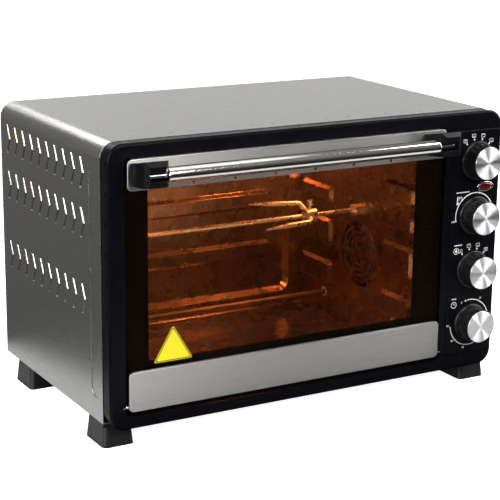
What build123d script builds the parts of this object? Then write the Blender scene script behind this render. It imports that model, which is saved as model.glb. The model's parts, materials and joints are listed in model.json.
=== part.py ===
from build123d import *
import os
from math import cos, radians, sin

os.makedirs("parts", exist_ok=True)

# Countertop convection oven with a drop-down glass door, four control knobs, a convection
# fan and a rotisserie spit. Millimetres. +X is to the right, +Y to the back and +Z up.
# The origin is under the middle of the whole object, on the surface that the feet stand on.

# ---------------------------------------------------------------- driving dimensions
WIDTH = 550.0               # across the front frame and the casing
BODY_HEIGHT = 338.0         # front frame, without the feet
BODY_DEPTH = 331.0          # front frame's face to the rear cover's face
FOOT_HEIGHT = 24.0          # below the frame's lower edge
HANDLE_REACH = 42.0         # handle brackets, in front of the frame's face
REAR_REACH = 8.0            # rear stand-off panel, behind the rear cover
CORNER_RADIUS = 20.0        # seen from the front
SHEET = 1.0                 # casing, covers and oven cavity
CLEARANCE = 0.3             # between pieces that don't touch
RUNNING = 0.05              # radial clearance of a shaft or pin in its bore
OVERCUT = 1.0               # how far a cut starts outside what it cuts

# front frame
RIM = 4.5                   # thickness of the frame's face
RIM_RADIUS = 3.5
FRAME_SKIRT = 1.5
FLANGE = 2.5                # wall round the door opening
FLANGE_DEPTH = 14.0
OPENING_LEFT = 20.0         # left border
OPENING_RIGHT = 86.0        # right border, which holds the controls
OPENING_SILL = 15.0
OPENING_TOP = 16.0
OPENING_RADIUS = 6.0

# slotted band between the frame and the casing
BAND_END = 21.0             # its rear edge, behind the frame's face
BAND_INSET = 0.8
BAND_GAP = 0.7
BAND_SLOT = (8.5, 3.0)
BAND_SLOT_PITCH = 34.8
BAND_SLOT_COUNT = 6
BAND_SLOT_TOP = 315.0
BAND_SLOT_DEPTH = 8.5

# casing
CASING_FOOT = 4.0           # its lower edge, above the frame's lower edge
CASING_FLANGE = 10.0
CHEVRON_COUNT = 10
CHEVRON_PITCH = 25.6
CHEVRON_START = 66.0        # first tip, behind the frame's face
CHEVRON_ROWS = (143.0, 235.0, 294.5)
CHEVRON_HALF = 18.0
CHEVRON_BACK = 8.5
CHEVRON_SLOT = 4.0
RIB_WIDTH = 22.0
RIB_BOTTOM = 31.0
RIB_TOP = 303.0
RIB_DEPTH = 0.8
RIB_START = 31.0
TOP_HOLE_COUNT = 18
TOP_HOLE_PITCH = 27.0
TOP_HOLE = (6.0, 2.4)
TOP_HOLE_DEPTH = 41.0

# feet
FOOT_BASE = (40.0, 54.0)
FOOT_HEAD = (35.0, 48.0)
FOOT_RADIUS = 6.0
FOOT_FRONT = 42.0           # middle of the front feet, behind the frame's face
FOOT_REAR_INSET = 62.5      # middle of the rear feet, in front of the rear cover

# screws of the feet and the rear cover
SCREW_RADIUS = 2.0
SCREW_HEAD_RADIUS = 3.5
SCREW_HEAD = 2.2
SCREW_LENGTH = 10.0
SCREW_EDGE = 5.0
SCREW_END = 2.0             # a foot's screw, past the panel that it holds

# rear cover
STANDOFF_WIDTH = 320.0
STANDOFF_HEIGHT = 150.0
STANDOFF_RADIUS = 18.0
VENT_SLOT = (34.0, 3.5)
BOTTOM_VENTS = (58.0, 40.0, 7, 3)   # pitches along X and Y, then counts
STANDOFF_VENTS = (44.0, 14.0, 6, 8)
SIDE_VENTS = (1.0, 12.0, 1, 12)
GLAND_BORE = 3.5
GLAND_BODY = 8.0
GLAND_FLANGE = 12.0
GLAND_FLANGE_DEPTH = 4.0
GLAND_ROUND = 1.5
GLAND_EDGE = (48.0, 40.0)   # from the right side and from the frame's lower edge

# oven cavity, inside faces
CAVITY_LEFT = 6.0           # inwards from the opening's left edge
CAVITY_RIGHT = 24.0         # inwards from the opening's right edge
CAVITY_FLOOR = 16.0         # above the frame's lower edge
CAVITY_TOP = 30.0           # below the frame's upper edge
CAVITY_BACK = 26.0          # in front of the rear cover
CAVITY_BEND = 8.0
CAVITY_LIP = 12.0
BACK_RECESS = 8.0
BACK_RECESS_SIDE = 20.0     # rim beside the recess
BACK_RECESS_FLOOR = 22.0
BACK_RECESS_TOP = 24.0
BACK_RECESS_RADIUS = 16.0
BACK_PADS = ((91.0, 116.0), (163.0, 189.0))
BACK_PAD_SIDE = 28.0        # from the recess's side to the pads
REAR_PADS = ((64.0, 98.0), (120.0, 158.0), (180.0, 204.0))
FRONT_PADS = ((58.0, 92.0), (118.0, 160.0), (178.0, 203.0), (215.0, 242.0))
PAD_DEPTH = 5.0
PAD_TAPER = 40.0
PAD_RADIUS = 7.0
REAR_PAD_DEPTHS = (220.0, 300.0)
FRONT_PAD_DEPTHS = (28.0, 98.0)

# perforated fan grille in the right cavity wall
FAN_DEPTH = 154.0
FAN_HEIGHT = 124.5
GRILLE_RINGS = (10.0, 18.0, 26.0, 34.0, 42.0)
GRILLE_CORNERS = (50.0, 58.0)
GRILLE_SLOT = 4.4
GRILLE_SPOKE = 4.0
GRILLE_SPOKES = 3
GRILLE_CORNER_ARC = 26.0    # degrees
FAN_RADIUS = 40.0
FAN_BLADES = 8
FAN_SHAFT_RADIUS = 3.0
FAN_GAP = 4.0
FAN_WIDTH = 14.0
FAN_HUB_RADIUS = 7.0
FAN_BLADE = 1.2
FAN_TIP_GAP = 4.0           # fan's tips, inside the grille's circle
FAN_SHAFT_ENTRY = 12.0      # into the motor, whose bore is deeper
FAN_BORE = 14.0
MOTOR_RADIUS = 30.0
MOTOR_LENGTH = 34.0
MOTOR_FLANGE = (8.0, 3.0)   # beyond the motor's radius, and thickness
MOTOR_LEG_CIRCLE = 50.0
MOTOR_LEG_RADIUS = 2.5
MOTOR_EAR_CIRCLE = 42.0
MOTOR_EAR_RADIUS = 11.0

# rotisserie
SPIT_DEPTH = 155.0
SPIT_HEIGHT = 187.0
SPIT_RADIUS = 3.0
SOCKET_RADIUS = 8.0
SOCKET_STUB = (5.0, 15.0)   # radius and length, in the gearbox
SOCKET_REACH = 13.0
SOCKET_BACK = 3.0           # behind the cavity wall
SOCKET_CHAMFER = 1.5
SOCKET_BORE = 8.0
SPIT_END_GAP = 6.0          # spit's left end to the cavity wall
CRADLE = (16.0, 14.0, 18.0)
CRADLE_ROUND = 4.0
CRADLE_BASE = 4.0
GEARBOX_GAP = 6.0           # behind the cavity wall
GEARBOX = 24.0
GEARBOX_Y = (-26.0, 34.0)   # from the spit's axis
GEARBOX_Z = (-8.0, 44.0)
GEARBOX_ROUND = 5.0
GEARBOX_BORE = 14.0
GEARBOX_EARS = ((-23.0, 11.0), (27.0, 11.0))
EAR_SLOT = (14.0, 6.0)
EAR_RADIUS = 3.5
GEAR_MOTOR_PLACE = (4.0, 18.0)
GEAR_MOTOR = (22.0, 22.0)   # radius and length
FORK_X = 82.0               # from the spit's right end to the fork's hub
FORK_SCREW = (2.0, 13.0)    # radius and length from the spit's face
FORK_THUMB = (3.8, 7.0, 2.0)    # radius, height and gap above the hub
FORK_HUB = (16.0, 18.0)
TINE_RADIUS = 3.4
TINE_POINT = 0.8
TINE_SHANK = 0.5            # the even part of a tine, as a share of its length
TINE_LENGTH = 74.0
TINES = ((20.0, 19.0), (-22.0, -6.0))
TINE_SPLAY = 0.75           # a tine's start, as a share of its end's distance from the spit
TINE_BEND = 5.0

# heating rods, crumb tray and lamp
HEATER_RADIUS = 4.0
HEATER_DEPTHS = {"front": 70.0, "rear": 240.0}
HEATER_LOW = 50.0
HEATER_HIGH = 288.0
HEATER_OVERHANG = 7.0
HEATER_PIN = (1.5, 8.0)
INSULATOR_RADIUS = 7.0
INSULATOR_FLANGE = 2.0
TRAY_RIM = 6.0
TRAY_GAP = 3.0
LAMP_DEPTH = 262.0
LAMP_HEIGHT = 262.0
LAMP_RADIUS = 20.0
LAMP_COVER = (12.0, 7.0)    # depth and rounding
LAMP_COVER_WALLS = (2.5, 2.0)   # side and face
LAMP_HOLE = 14.0
LAMP_HOLDER = (16.0, 14.0)  # radius and length
LAMP_SOCKET = 8.0
BULB_RADIUS = 5.0
BULB_REACH = 7.0

# door
DOOR_GAP_SIDE = 3.0
DOOR_GAP_BOTTOM = 7.0
DOOR_GAP_TOP = 2.0
DOOR_PROUD = 3.0            # trims, in front of the frame's face
GLASS = 4.0
GLASS_FACE = 1.5            # front of the glass, behind the frame's face
TRIM = 1.0
TOP_TRIM = 36.0
TOP_TRIM_LAP = 20.0
BOTTOM_TRIM = 48.0
BOTTOM_TRIM_LAP = 28.0
TRIM_RADIUS = 6.0
TRIM_ROUND = 0.8
TRIM_NOTCHES = 6
TRIM_NOTCH_PITCH = 54.4
TRIM_NOTCH_RADIUS = 2.2
HINGE_RADIUS = 2.5
HINGE_RISE = 5.0            # axis above the door's lower edge
HINGE_TAB = 20.0
GLASS_SEAT = 2.0            # glass, above the hinge pins

# handle
BAR_RADIUS = 9.0
BAR_ROUND = 1.5
BAR_REACH = 31.0            # bar's axis, in front of the frame's face
BAR_DROP = 14.5             # bar's axis, below the door's top
STUB_RADIUS = 4.0
STUB_LENGTH = 24.0
POCKET_GAP = 1.0            # past the bar's ends, in the brackets
COLLAR = (5.0, 4.0)
BRACKET_WIDTH = 30.0
BRACKET_INSET = 4.0
BRACKET_BOTTOM = 30.0       # below the door's top
BRACKET_BASE = 26.0
BRACKET_FACE = (26.0, -3.0)     # lower and upper edge of the front, below the door's top
BRACKET_CHAMFER = 5.0
HANDLE_SCREW = 2.0
HANDLE_SCREW_HEAD = (4.0, 2.2)
HANDLE_SCREW_REACH = 12.0
HANDLE_SCREW_DROP = 13.0    # below the door's top

# controls
PANEL_WIDTH = 72.0
PANEL_EDGE = 3.0            # from the frame's right side
PANEL_BOTTOM = 20.0
PANEL_TOP = 315.0
PANEL_PROUD = 1.5
PANEL_SEAT = 1.5
PANEL_LEDGE = 6.0
PANEL_RADIUS = 5.0
PANEL_ROUND = 1.3
PANEL_WINDOW_RADIUS = 2.0
KNOB_EDGE = 39.0            # knobs' axis, from the frame's right side
KNOBS = {"mode": 276.0, "temperature": 204.5, "function": 133.0, "timer": 61.5}
KNOB_RADIUS = 22.0
KNOB_SKIRT = (25.0, 4.0)
KNOB_HEIGHT = 24.0
KNOB_GAP = 0.5
KNOB_SKIRT_ROUND = 2.0
KNOB_CHAMFER = 0.6
CAP_RADIUS = 20.8
CAP_THICKNESS = 1.5
CAP_PROUD = 0.4             # cap's face, in front of the knob's, and its chamfer
POINTER = (1.4, 17.8)       # radius of the mark and its distance from the axis
POINTER_DEPTH = 0.3
POINTER_ANGLES = {"mode": 127.0, "temperature": 187.0, "function": 127.0, "timer": 66.0}
SHAFT_RADIUS = 3.0
SHAFT_SEAT = 14.0
SHAFT_HOLE = 4.5
SWITCH = (34.0, 26.0, 32.0)
SWITCH_ROUND = 3.0
SWITCH_BUSH = 4.0           # bush's wall, round the shaft
SWITCH_ENTRY = 12.0
SWITCH_END_GAP = 2.0
TERMINAL = (6.0, 8.0, 0.8)
TERMINAL_PLACE = 8.0
SWITCH_NAMES = {"mode": "mode_switch", "temperature": "thermostat",
                "function": "function_switch", "timer": "timer_switch"}
LENS_EDGE = 24.0            # indicator's middle, from the frame's right side
LENS_HEIGHT = 241.0
LENS_HALF = (10.5, 4.6)
BEZEL_HALF = (12.5, 6.4)
LENS_PROUD = 2.0
LENS_BACK = 4.0             # behind the panel
LENS_ROUND = 1.6
BEZEL_PROUD = 1.2

# ---------------------------------------------------------------- places
FRONT_Y = (HANDLE_REACH - BODY_DEPTH - REAR_REACH) / 2
LEFT = -WIDTH / 2
RIGHT = WIDTH / 2


def up(height):
    """Height above the frame's lower edge."""
    return FOOT_HEIGHT + height


def back(depth):
    """Depth behind the frame's front face."""
    return FRONT_Y + depth


def facing(depth):
    """A plane at this depth that faces the front: local x is X and local y is Z."""
    return Plane.XZ.offset(-back(depth))


def block(x, y, z, mode=Mode.ADD):
    """A block between two X, two Y and two Z values."""
    middle = ((x[0] + x[1]) / 2, (y[0] + y[1]) / 2, (z[0] + z[1]) / 2)
    with Locations(middle):
        Box(x[1] - x[0], y[1] - y[0], z[1] - z[0], mode=mode)


def rod_x(start, end, y, z, radius, mode=Mode.ADD):
    """A round rod along X."""
    with Locations(((start + end) / 2, y, z)):
        Cylinder(radius, end - start, rotation=(0, 90, 0), mode=mode)


def rod_y(start, end, x, z, radius, mode=Mode.ADD):
    """A round rod along Y, with its ends at two Y values."""
    with Locations((x, (start + end) / 2, z)):
        Cylinder(radius, end - start, rotation=(90, 0, 0), mode=mode)


def arch(width, height, radius):
    """A filled outline that stands on its local origin, with its two upper corners rounded."""
    with BuildSketch(mode=Mode.PRIVATE) as outline:
        Rectangle(width, height, align=(Align.CENTER, Align.MIN))
        fillet(outline.vertices().group_by(Axis.Y)[-1], radius)
    return outline.sketch


def pressed_pad(wall, middle, size, depth, radius=PAD_RADIUS):
    """A hollow pad, pressed out of a sheet wall: wall is its inner face, which the pad leaves."""
    with BuildSketch(wall) as outside:
        with Locations(middle):
            RectangleRounded(size[0], size[1], radius)
    extrude(outside.sketch, amount=depth, taper=PAD_TAPER)
    with BuildSketch(wall.offset(-SHEET)) as inside:
        with Locations(middle):
            RectangleRounded(size[0] - 2 * SHEET, size[1] - 2 * SHEET, radius - SHEET)
    extrude(inside.sketch, amount=depth, taper=PAD_TAPER, mode=Mode.SUBTRACT)


def save(builder, name):
    """Labels a finished piece and writes it."""
    builder.part.label = name
    export_step(builder.part, "parts/" + name + ".step")


opening_x = (LEFT + OPENING_LEFT, RIGHT - OPENING_RIGHT)
opening_z = (up(OPENING_SILL), up(BODY_HEIGHT - OPENING_TOP))
opening_size = (opening_x[1] - opening_x[0], opening_z[1] - opening_z[0])
opening_middle = (sum(opening_x) / 2, sum(opening_z) / 2)

door_x = (opening_x[0] + DOOR_GAP_SIDE, opening_x[1] - DOOR_GAP_SIDE)
door_z = (opening_z[0] + DOOR_GAP_BOTTOM, opening_z[1] - DOOR_GAP_TOP)
door_width = door_x[1] - door_x[0]
door_middle = sum(door_x) / 2
hinge_y = back(GLASS_FACE + TRIM)
hinge_z = door_z[0] + HINGE_RISE

panel_x = (RIGHT - PANEL_EDGE - PANEL_WIDTH, RIGHT - PANEL_EDGE)
panel_z = (up(PANEL_BOTTOM), up(PANEL_TOP))
panel_middle = (sum(panel_x) / 2, sum(panel_z) / 2)
panel_size = (PANEL_WIDTH, panel_z[1] - panel_z[0])
knob_x = RIGHT - KNOB_EDGE
lens_middle = (RIGHT - LENS_EDGE, up(LENS_HEIGHT))

cavity_x = (opening_x[0] + CAVITY_LEFT, opening_x[1] - CAVITY_RIGHT)
cavity_y = (back(FLANGE_DEPTH), back(BODY_DEPTH - CAVITY_BACK))
cavity_z = (up(CAVITY_FLOOR), up(BODY_HEIGHT - CAVITY_TOP))
spit_place = (back(SPIT_DEPTH), up(SPIT_HEIGHT))
fan_place = (back(FAN_DEPTH), up(FAN_HEIGHT))

foot_x = RIGHT - FOOT_HEAD[0] / 2
foot_places = {
    "foot_front_left": (-foot_x, back(FOOT_FRONT)),
    "foot_front_right": (foot_x, back(FOOT_FRONT)),
    "foot_rear_left": (-foot_x, back(BODY_DEPTH - FOOT_REAR_INSET)),
    "foot_rear_right": (foot_x, back(BODY_DEPTH - FOOT_REAR_INSET)),
}
rear_screw_places = [
    (side * (RIGHT - SHEET - SCREW_EDGE), up(share * BODY_HEIGHT))
    for side in (-1, 1)
    for share in (0.12, 0.5, 0.88)
] + [(side * WIDTH / 4, up(BODY_HEIGHT - SHEET - SCREW_EDGE)) for side in (-1, 1)]

# ---------------------------------------------------------------- front frame and slotted band
band_outer = (WIDTH - 2 * BAND_INSET, BODY_HEIGHT - 2 * BAND_INSET)
band_inner = (band_outer[0] - 2 * SHEET, band_outer[1] - 2 * SHEET)
front_middle = (0, up(BODY_HEIGHT / 2))

with BuildPart() as front_frame:
    with BuildSketch(facing(0)):
        with Locations(front_middle):
            RectangleRounded(WIDTH, BODY_HEIGHT, CORNER_RADIUS)
    extrude(amount=-RIM)
    fillet(front_frame.faces().sort_by(Axis.Y)[0].edges(), RIM_RADIUS)
    with BuildSketch(facing(RIM)):
        with Locations(front_middle):
            RectangleRounded(*band_inner, CORNER_RADIUS - BAND_INSET - SHEET)
            RectangleRounded(band_inner[0] - 2 * FRAME_SKIRT, band_inner[1] - 2 * FRAME_SKIRT,
                             CORNER_RADIUS - BAND_INSET - SHEET - FRAME_SKIRT, mode=Mode.SUBTRACT)
        with Locations(opening_middle):
            RectangleRounded(opening_size[0] + 2 * FLANGE, opening_size[1] + 2 * FLANGE,
                             OPENING_RADIUS + FLANGE)
    extrude(amount=-(FLANGE_DEPTH - RIM))
    with BuildSketch(facing(0)):
        with Locations(opening_middle):
            RectangleRounded(*opening_size, OPENING_RADIUS)
    extrude(amount=-FLANGE_DEPTH, mode=Mode.SUBTRACT)
    with BuildSketch(facing(0)):
        with Locations(panel_middle):
            RectangleRounded(*panel_size, PANEL_RADIUS)
    extrude(amount=-PANEL_SEAT, mode=Mode.SUBTRACT)
    with BuildSketch(facing(0)):
        with Locations(panel_middle):
            RectangleRounded(panel_size[0] - 2 * PANEL_LEDGE, panel_size[1] - 2 * PANEL_LEDGE,
                             PANEL_WINDOW_RADIUS)
    extrude(amount=-FLANGE_DEPTH, mode=Mode.SUBTRACT)
    rod_x(opening_x[0] - FLANGE - OVERCUT, opening_x[1] + FLANGE + OVERCUT, hinge_y, hinge_z,
          HINGE_RADIUS + RUNNING, mode=Mode.SUBTRACT)
save(front_frame, "front_frame")

with BuildPart() as front_ring:
    with BuildSketch(facing(RIM)):
        with Locations(front_middle):
            RectangleRounded(*band_outer, CORNER_RADIUS - BAND_INSET)
            RectangleRounded(*band_inner, CORNER_RADIUS - BAND_INSET - SHEET, mode=Mode.SUBTRACT)
    extrude(amount=-(BAND_END - RIM))
    with BuildSketch(Plane.YZ):
        slot_tops = [up(BAND_SLOT_TOP - i * BAND_SLOT_PITCH) for i in range(BAND_SLOT_COUNT)]
        with Locations([(back(BAND_SLOT_DEPTH), z) for z in slot_tops]):
            SlotOverall(*BAND_SLOT, rotation=90)
    extrude(amount=WIDTH, both=True, mode=Mode.SUBTRACT)
save(front_ring, "front_ring")

# ---------------------------------------------------------------- casing and covers
casing_start = BAND_END + BAND_GAP
casing_end = BODY_DEPTH - SHEET
casing_height = BODY_HEIGHT - CASING_FOOT
rib_middle = (back(RIB_START + RIB_WIDTH / 2), up((RIB_BOTTOM + RIB_TOP) / 2))
chevron = [
    (0, 0),
    (CHEVRON_BACK, CHEVRON_HALF),
    (CHEVRON_BACK + CHEVRON_SLOT, CHEVRON_HALF),
    (CHEVRON_SLOT, 0),
    (CHEVRON_BACK + CHEVRON_SLOT, -CHEVRON_HALF),
    (CHEVRON_BACK, -CHEVRON_HALF),
]

with BuildPart() as outer_casing:
    with BuildSketch(facing(casing_start)):
        with Locations((0, up(CASING_FOOT))):
            add(arch(WIDTH, casing_height, CORNER_RADIUS))
            add(arch(WIDTH - 2 * SHEET, casing_height - SHEET, CORNER_RADIUS - SHEET),
                mode=Mode.SUBTRACT)
    extrude(amount=-(casing_end - casing_start))
    with BuildSketch(facing(casing_end - SHEET)):
        with Locations((0, up(CASING_FOOT))):
            add(arch(WIDTH - 2 * SHEET, casing_height - SHEET, CORNER_RADIUS - SHEET))
            add(arch(WIDTH - 2 * SHEET - 2 * CASING_FLANGE, casing_height - SHEET - CASING_FLANGE,
                     CORNER_RADIUS / 2), mode=Mode.SUBTRACT)
    extrude(amount=-SHEET)
    for side in (-1, 1):
        flange_x = sorted((side * (RIGHT - SHEET), side * (RIGHT - SHEET - CASING_FLANGE)))
        flange_z = (up(CASING_FOOT + SHEET), up(CASING_FOOT + 2 * SHEET))
        block(flange_x, (back(casing_start), back(casing_end)), flange_z)
        rib_out = Plane.YZ.offset(side * RIGHT)
        with BuildSketch(rib_out.offset(-side * SHEET)):
            with Locations(rib_middle):
                SlotOverall(RIB_TOP - RIB_BOTTOM + 2 * SHEET, RIB_WIDTH + 2 * SHEET, rotation=90)
        extrude(amount=-side * RIB_DEPTH)
        with BuildSketch(rib_out):
            with Locations(rib_middle):
                SlotOverall(RIB_TOP - RIB_BOTTOM, RIB_WIDTH, rotation=90)
        extrude(amount=-side * RIB_DEPTH, mode=Mode.SUBTRACT)
    with BuildSketch(Plane.YZ):
        with Locations([(back(CHEVRON_START + i * CHEVRON_PITCH), up(row))
                        for row in CHEVRON_ROWS for i in range(CHEVRON_COUNT)]):
            Polygon(*chevron, align=None)
    extrude(amount=WIDTH, both=True, mode=Mode.SUBTRACT)
    with BuildSketch(Plane.XY.offset(up(BODY_HEIGHT))):
        with Locations((0, back(TOP_HOLE_DEPTH))):
            with GridLocations(TOP_HOLE_PITCH, 1, TOP_HOLE_COUNT, 1):
                SlotOverall(*TOP_HOLE)
    extrude(amount=-2 * SHEET, mode=Mode.SUBTRACT)
    for place in rear_screw_places:
        rod_y(back(casing_end - SHEET), back(casing_end), *place, SCREW_RADIUS, mode=Mode.SUBTRACT)
save(outer_casing, "outer_casing")

with BuildPart() as bottom_panel:
    panel_half = RIGHT - SHEET - CLEARANCE
    block((-panel_half, panel_half), (back(casing_start), back(casing_end - SHEET)),
          (up(CASING_FOOT), up(CASING_FOOT + SHEET)))
    with BuildSketch(Plane.XY.offset(up(CASING_FOOT))):
        with Locations((0, back(BODY_DEPTH / 2))):
            with GridLocations(*BOTTOM_VENTS):
                SlotOverall(*VENT_SLOT)
        with Locations(*foot_places.values()):
            Circle(SCREW_RADIUS)
    extrude(amount=SHEET, mode=Mode.SUBTRACT)
save(bottom_panel, "bottom_panel")

standoff_middle = (0, up(BODY_HEIGHT / 2))
gland_place = (RIGHT - GLAND_EDGE[0], up(GLAND_EDGE[1]))
with BuildPart() as rear_cover:
    with BuildSketch(facing(BODY_DEPTH - SHEET)):
        with Locations((0, up(CASING_FOOT))):
            add(arch(WIDTH - SHEET, casing_height - SHEET / 2, CORNER_RADIUS - SHEET / 2))
    extrude(amount=-SHEET)
    with BuildSketch(facing(BODY_DEPTH)):
        with Locations(standoff_middle):
            RectangleRounded(STANDOFF_WIDTH, STANDOFF_HEIGHT, STANDOFF_RADIUS)
    extrude(amount=-REAR_REACH)
    with BuildSketch(facing(BODY_DEPTH - SHEET)):
        with Locations(standoff_middle):
            RectangleRounded(STANDOFF_WIDTH - 2 * SHEET, STANDOFF_HEIGHT - 2 * SHEET,
                             STANDOFF_RADIUS - SHEET)
    extrude(amount=-REAR_REACH, mode=Mode.SUBTRACT)
    with BuildSketch(facing(BODY_DEPTH - SHEET)):
        with Locations(standoff_middle):
            with GridLocations(*STANDOFF_VENTS):
                SlotOverall(*VENT_SLOT)
        with Locations((RIGHT - GLAND_EDGE[0], up(BODY_HEIGHT / 2))):
            with GridLocations(*SIDE_VENTS):
                SlotOverall(*VENT_SLOT)
        with Locations(gland_place):
            Circle(GLAND_BODY)
        with Locations(*rear_screw_places):
            Circle(SCREW_RADIUS)
    extrude(amount=-(SHEET + REAR_REACH), mode=Mode.SUBTRACT)
save(rear_cover, "rear_cover")

with BuildPart() as cord_gland:
    rear_y = back(BODY_DEPTH)
    rod_y(rear_y - GLAND_FLANGE_DEPTH - SHEET, rear_y, *gland_place, GLAND_BODY)
    rod_y(rear_y, rear_y + GLAND_FLANGE_DEPTH, *gland_place, GLAND_FLANGE)
    fillet(cord_gland.faces().sort_by(Axis.Y)[-1].edges(), GLAND_ROUND)
    rod_y(rear_y - 2 * GLAND_FLANGE_DEPTH, rear_y + 2 * GLAND_FLANGE_DEPTH, *gland_place,
          GLAND_BORE, mode=Mode.SUBTRACT)
save(cord_gland, "cord_gland")

foot_top = up(CASING_FOOT)
foot_recess = foot_top - SCREW_LENGTH + SHEET + SCREW_END
for name, place in foot_places.items():
    with BuildPart() as foot:
        with BuildSketch(Plane.XY):
            with Locations(place):
                RectangleRounded(*FOOT_BASE, FOOT_RADIUS)
        with BuildSketch(Plane.XY.offset(foot_top)):
            with Locations(place):
                RectangleRounded(*FOOT_HEAD, FOOT_RADIUS)
        loft()
        with BuildSketch(Plane.XY):
            with Locations(place):
                Circle(SCREW_HEAD_RADIUS + CLEARANCE)
        extrude(amount=foot_recess, mode=Mode.SUBTRACT)
        with BuildSketch(Plane.XY):
            with Locations(place):
                Circle(SCREW_RADIUS)
        extrude(amount=foot_top, mode=Mode.SUBTRACT)
        # the front feet step down under the frame and its band
        block((place[0] - FOOT_BASE[0], place[0] + FOOT_BASE[0]), (back(0), back(casing_start)),
              (up(0), foot_top + OVERCUT), mode=Mode.SUBTRACT)
    save(foot, name)


def screw(head_plane):
    """A pan-head screw whose head stands on a plane, with its shank behind it."""
    with BuildSketch(head_plane) as head:
        Circle(SCREW_HEAD_RADIUS)
    extrude(head.sketch, amount=SCREW_HEAD)
    with BuildSketch(head_plane) as shank:
        Circle(SCREW_RADIUS)
    extrude(shank.sketch, amount=-SCREW_LENGTH)


with BuildPart() as body_screws:
    for x, y in foot_places.values():
        screw(Plane(origin=(x, y, foot_recess), x_dir=(1, 0, 0), z_dir=(0, 0, -1)))
    for x, z in rear_screw_places:
        screw(Plane(origin=(x, back(BODY_DEPTH), z), x_dir=(1, 0, 0), z_dir=(0, 1, 0)))
save(body_screws, "body_screws")

# ---------------------------------------------------------------- oven cavity
liner_height = cavity_z[1] - cavity_z[0]
liner_depth = cavity_y[1] - cavity_y[0]
liner_z = sum(cavity_z) / 2
recess_x = (cavity_x[0] + BACK_RECESS_SIDE, cavity_x[1] - BACK_RECESS_SIDE)
recess_z = (cavity_z[0] + BACK_RECESS_FLOOR, cavity_z[1] - BACK_RECESS_TOP)
recess_middle = (sum(recess_x) / 2, sum(recess_z) / 2)
recess_size = (recess_x[1] - recess_x[0], recess_z[1] - recess_z[0])

with BuildPart() as cavity_liner:
    with BuildSketch(Plane.YZ.offset(cavity_x[0])):
        with Locations((cavity_y[0], liner_z)):
            add(arch(liner_height + 2 * SHEET, liner_depth + SHEET, CAVITY_BEND + SHEET),
                rotation=-90)
            add(arch(liner_height, liner_depth, CAVITY_BEND), rotation=-90, mode=Mode.SUBTRACT)
    extrude(amount=cavity_x[1] - cavity_x[0])
    block(cavity_x, (cavity_y[0], cavity_y[0] + SHEET),
          (cavity_z[1] + SHEET, cavity_z[1] + CAVITY_LIP))
    rear_face = Plane.XZ.offset(-cavity_y[1])
    with BuildSketch(rear_face.offset(-SHEET)):
        with Locations(recess_middle):
            RectangleRounded(recess_size[0] + 2 * SHEET, recess_size[1] + 2 * SHEET,
                             BACK_RECESS_RADIUS + SHEET)
    extrude(amount=-BACK_RECESS, taper=PAD_TAPER)
    with BuildSketch(rear_face):
        with Locations(recess_middle):
            RectangleRounded(*recess_size, BACK_RECESS_RADIUS)
    extrude(amount=-BACK_RECESS, taper=PAD_TAPER, mode=Mode.SUBTRACT)
    for low, high in BACK_PADS:
        pad_size = (recess_size[0] - 2 * BACK_PAD_SIDE, high - low)
        pressed_pad(rear_face.offset(-BACK_RECESS), (recess_middle[0], up((low + high) / 2)),
                    pad_size, PAD_DEPTH)
save(cavity_liner, "cavity_liner")


def side_wall(inner_x, inwards):
    """One side of the cavity with its rack pads: inwards is +1 or -1 along X."""
    outer_x = inner_x - inwards * SHEET
    wall_x = sorted((inner_x, outer_x))
    wall_z = (cavity_z[0] - SHEET, cavity_z[1] + SHEET)
    block(wall_x, (cavity_y[0], cavity_y[1] + SHEET), wall_z)
    lip_x = sorted((outer_x, outer_x - inwards * CAVITY_LIP))
    block(lip_x, (cavity_y[0], cavity_y[0] + SHEET), wall_z)
    wall = Plane(origin=(inner_x, 0, 0), x_dir=(0, inwards, 0), z_dir=(inwards, 0, 0))
    for pads, depths in ((REAR_PADS, REAR_PAD_DEPTHS), (FRONT_PADS, FRONT_PAD_DEPTHS)):
        for low, high in pads:
            middle = (inwards * back(sum(depths) / 2), up((low + high) / 2))
            pressed_pad(wall, middle, (depths[1] - depths[0], high - low), PAD_DEPTH)
    for depth in HEATER_DEPTHS.values():
        for height in (HEATER_LOW, HEATER_HIGH):
            rod_x(*wall_x, back(depth), up(height), INSULATOR_RADIUS, mode=Mode.SUBTRACT)


# the walls stand just outside the liner's ends
left_inner = cavity_x[0]
right_inner = cavity_x[1]
with BuildPart() as cavity_left_wall:
    side_wall(left_inner, 1)
    rod_x(left_inner - SHEET, left_inner, back(LAMP_DEPTH), up(LAMP_HEIGHT),
          LAMP_HOLE, mode=Mode.SUBTRACT)
save(cavity_left_wall, "cavity_left_wall")

with BuildPart() as cavity_right_wall:
    side_wall(right_inner, -1)
    with BuildSketch(Plane.YZ.offset(right_inner)):
        with Locations(fan_place):
            for ring in reversed(GRILLE_RINGS):
                Circle(ring + GRILLE_SLOT / 2)
                Circle(ring - GRILLE_SLOT / 2, mode=Mode.SUBTRACT)
            with PolarLocations(0, GRILLE_SPOKES, angular_range=180):
                Rectangle(3 * FAN_RADIUS, GRILLE_SPOKE, mode=Mode.SUBTRACT)
            for corner in (45, 135, 225, 315):
                for ring in GRILLE_CORNERS:
                    start = corner - GRILLE_CORNER_ARC / 2
                    SlotArc(CenterArc((0, 0), ring, start, GRILLE_CORNER_ARC, mode=Mode.PRIVATE),
                            GRILLE_SLOT)
        with Locations(spit_place):
            Circle(SOCKET_RADIUS + CLEARANCE)
            with Locations(*GEARBOX_EARS):
                SlotOverall(*EAR_SLOT)
    extrude(amount=SHEET, mode=Mode.SUBTRACT)
save(cavity_right_wall, "cavity_right_wall")

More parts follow.
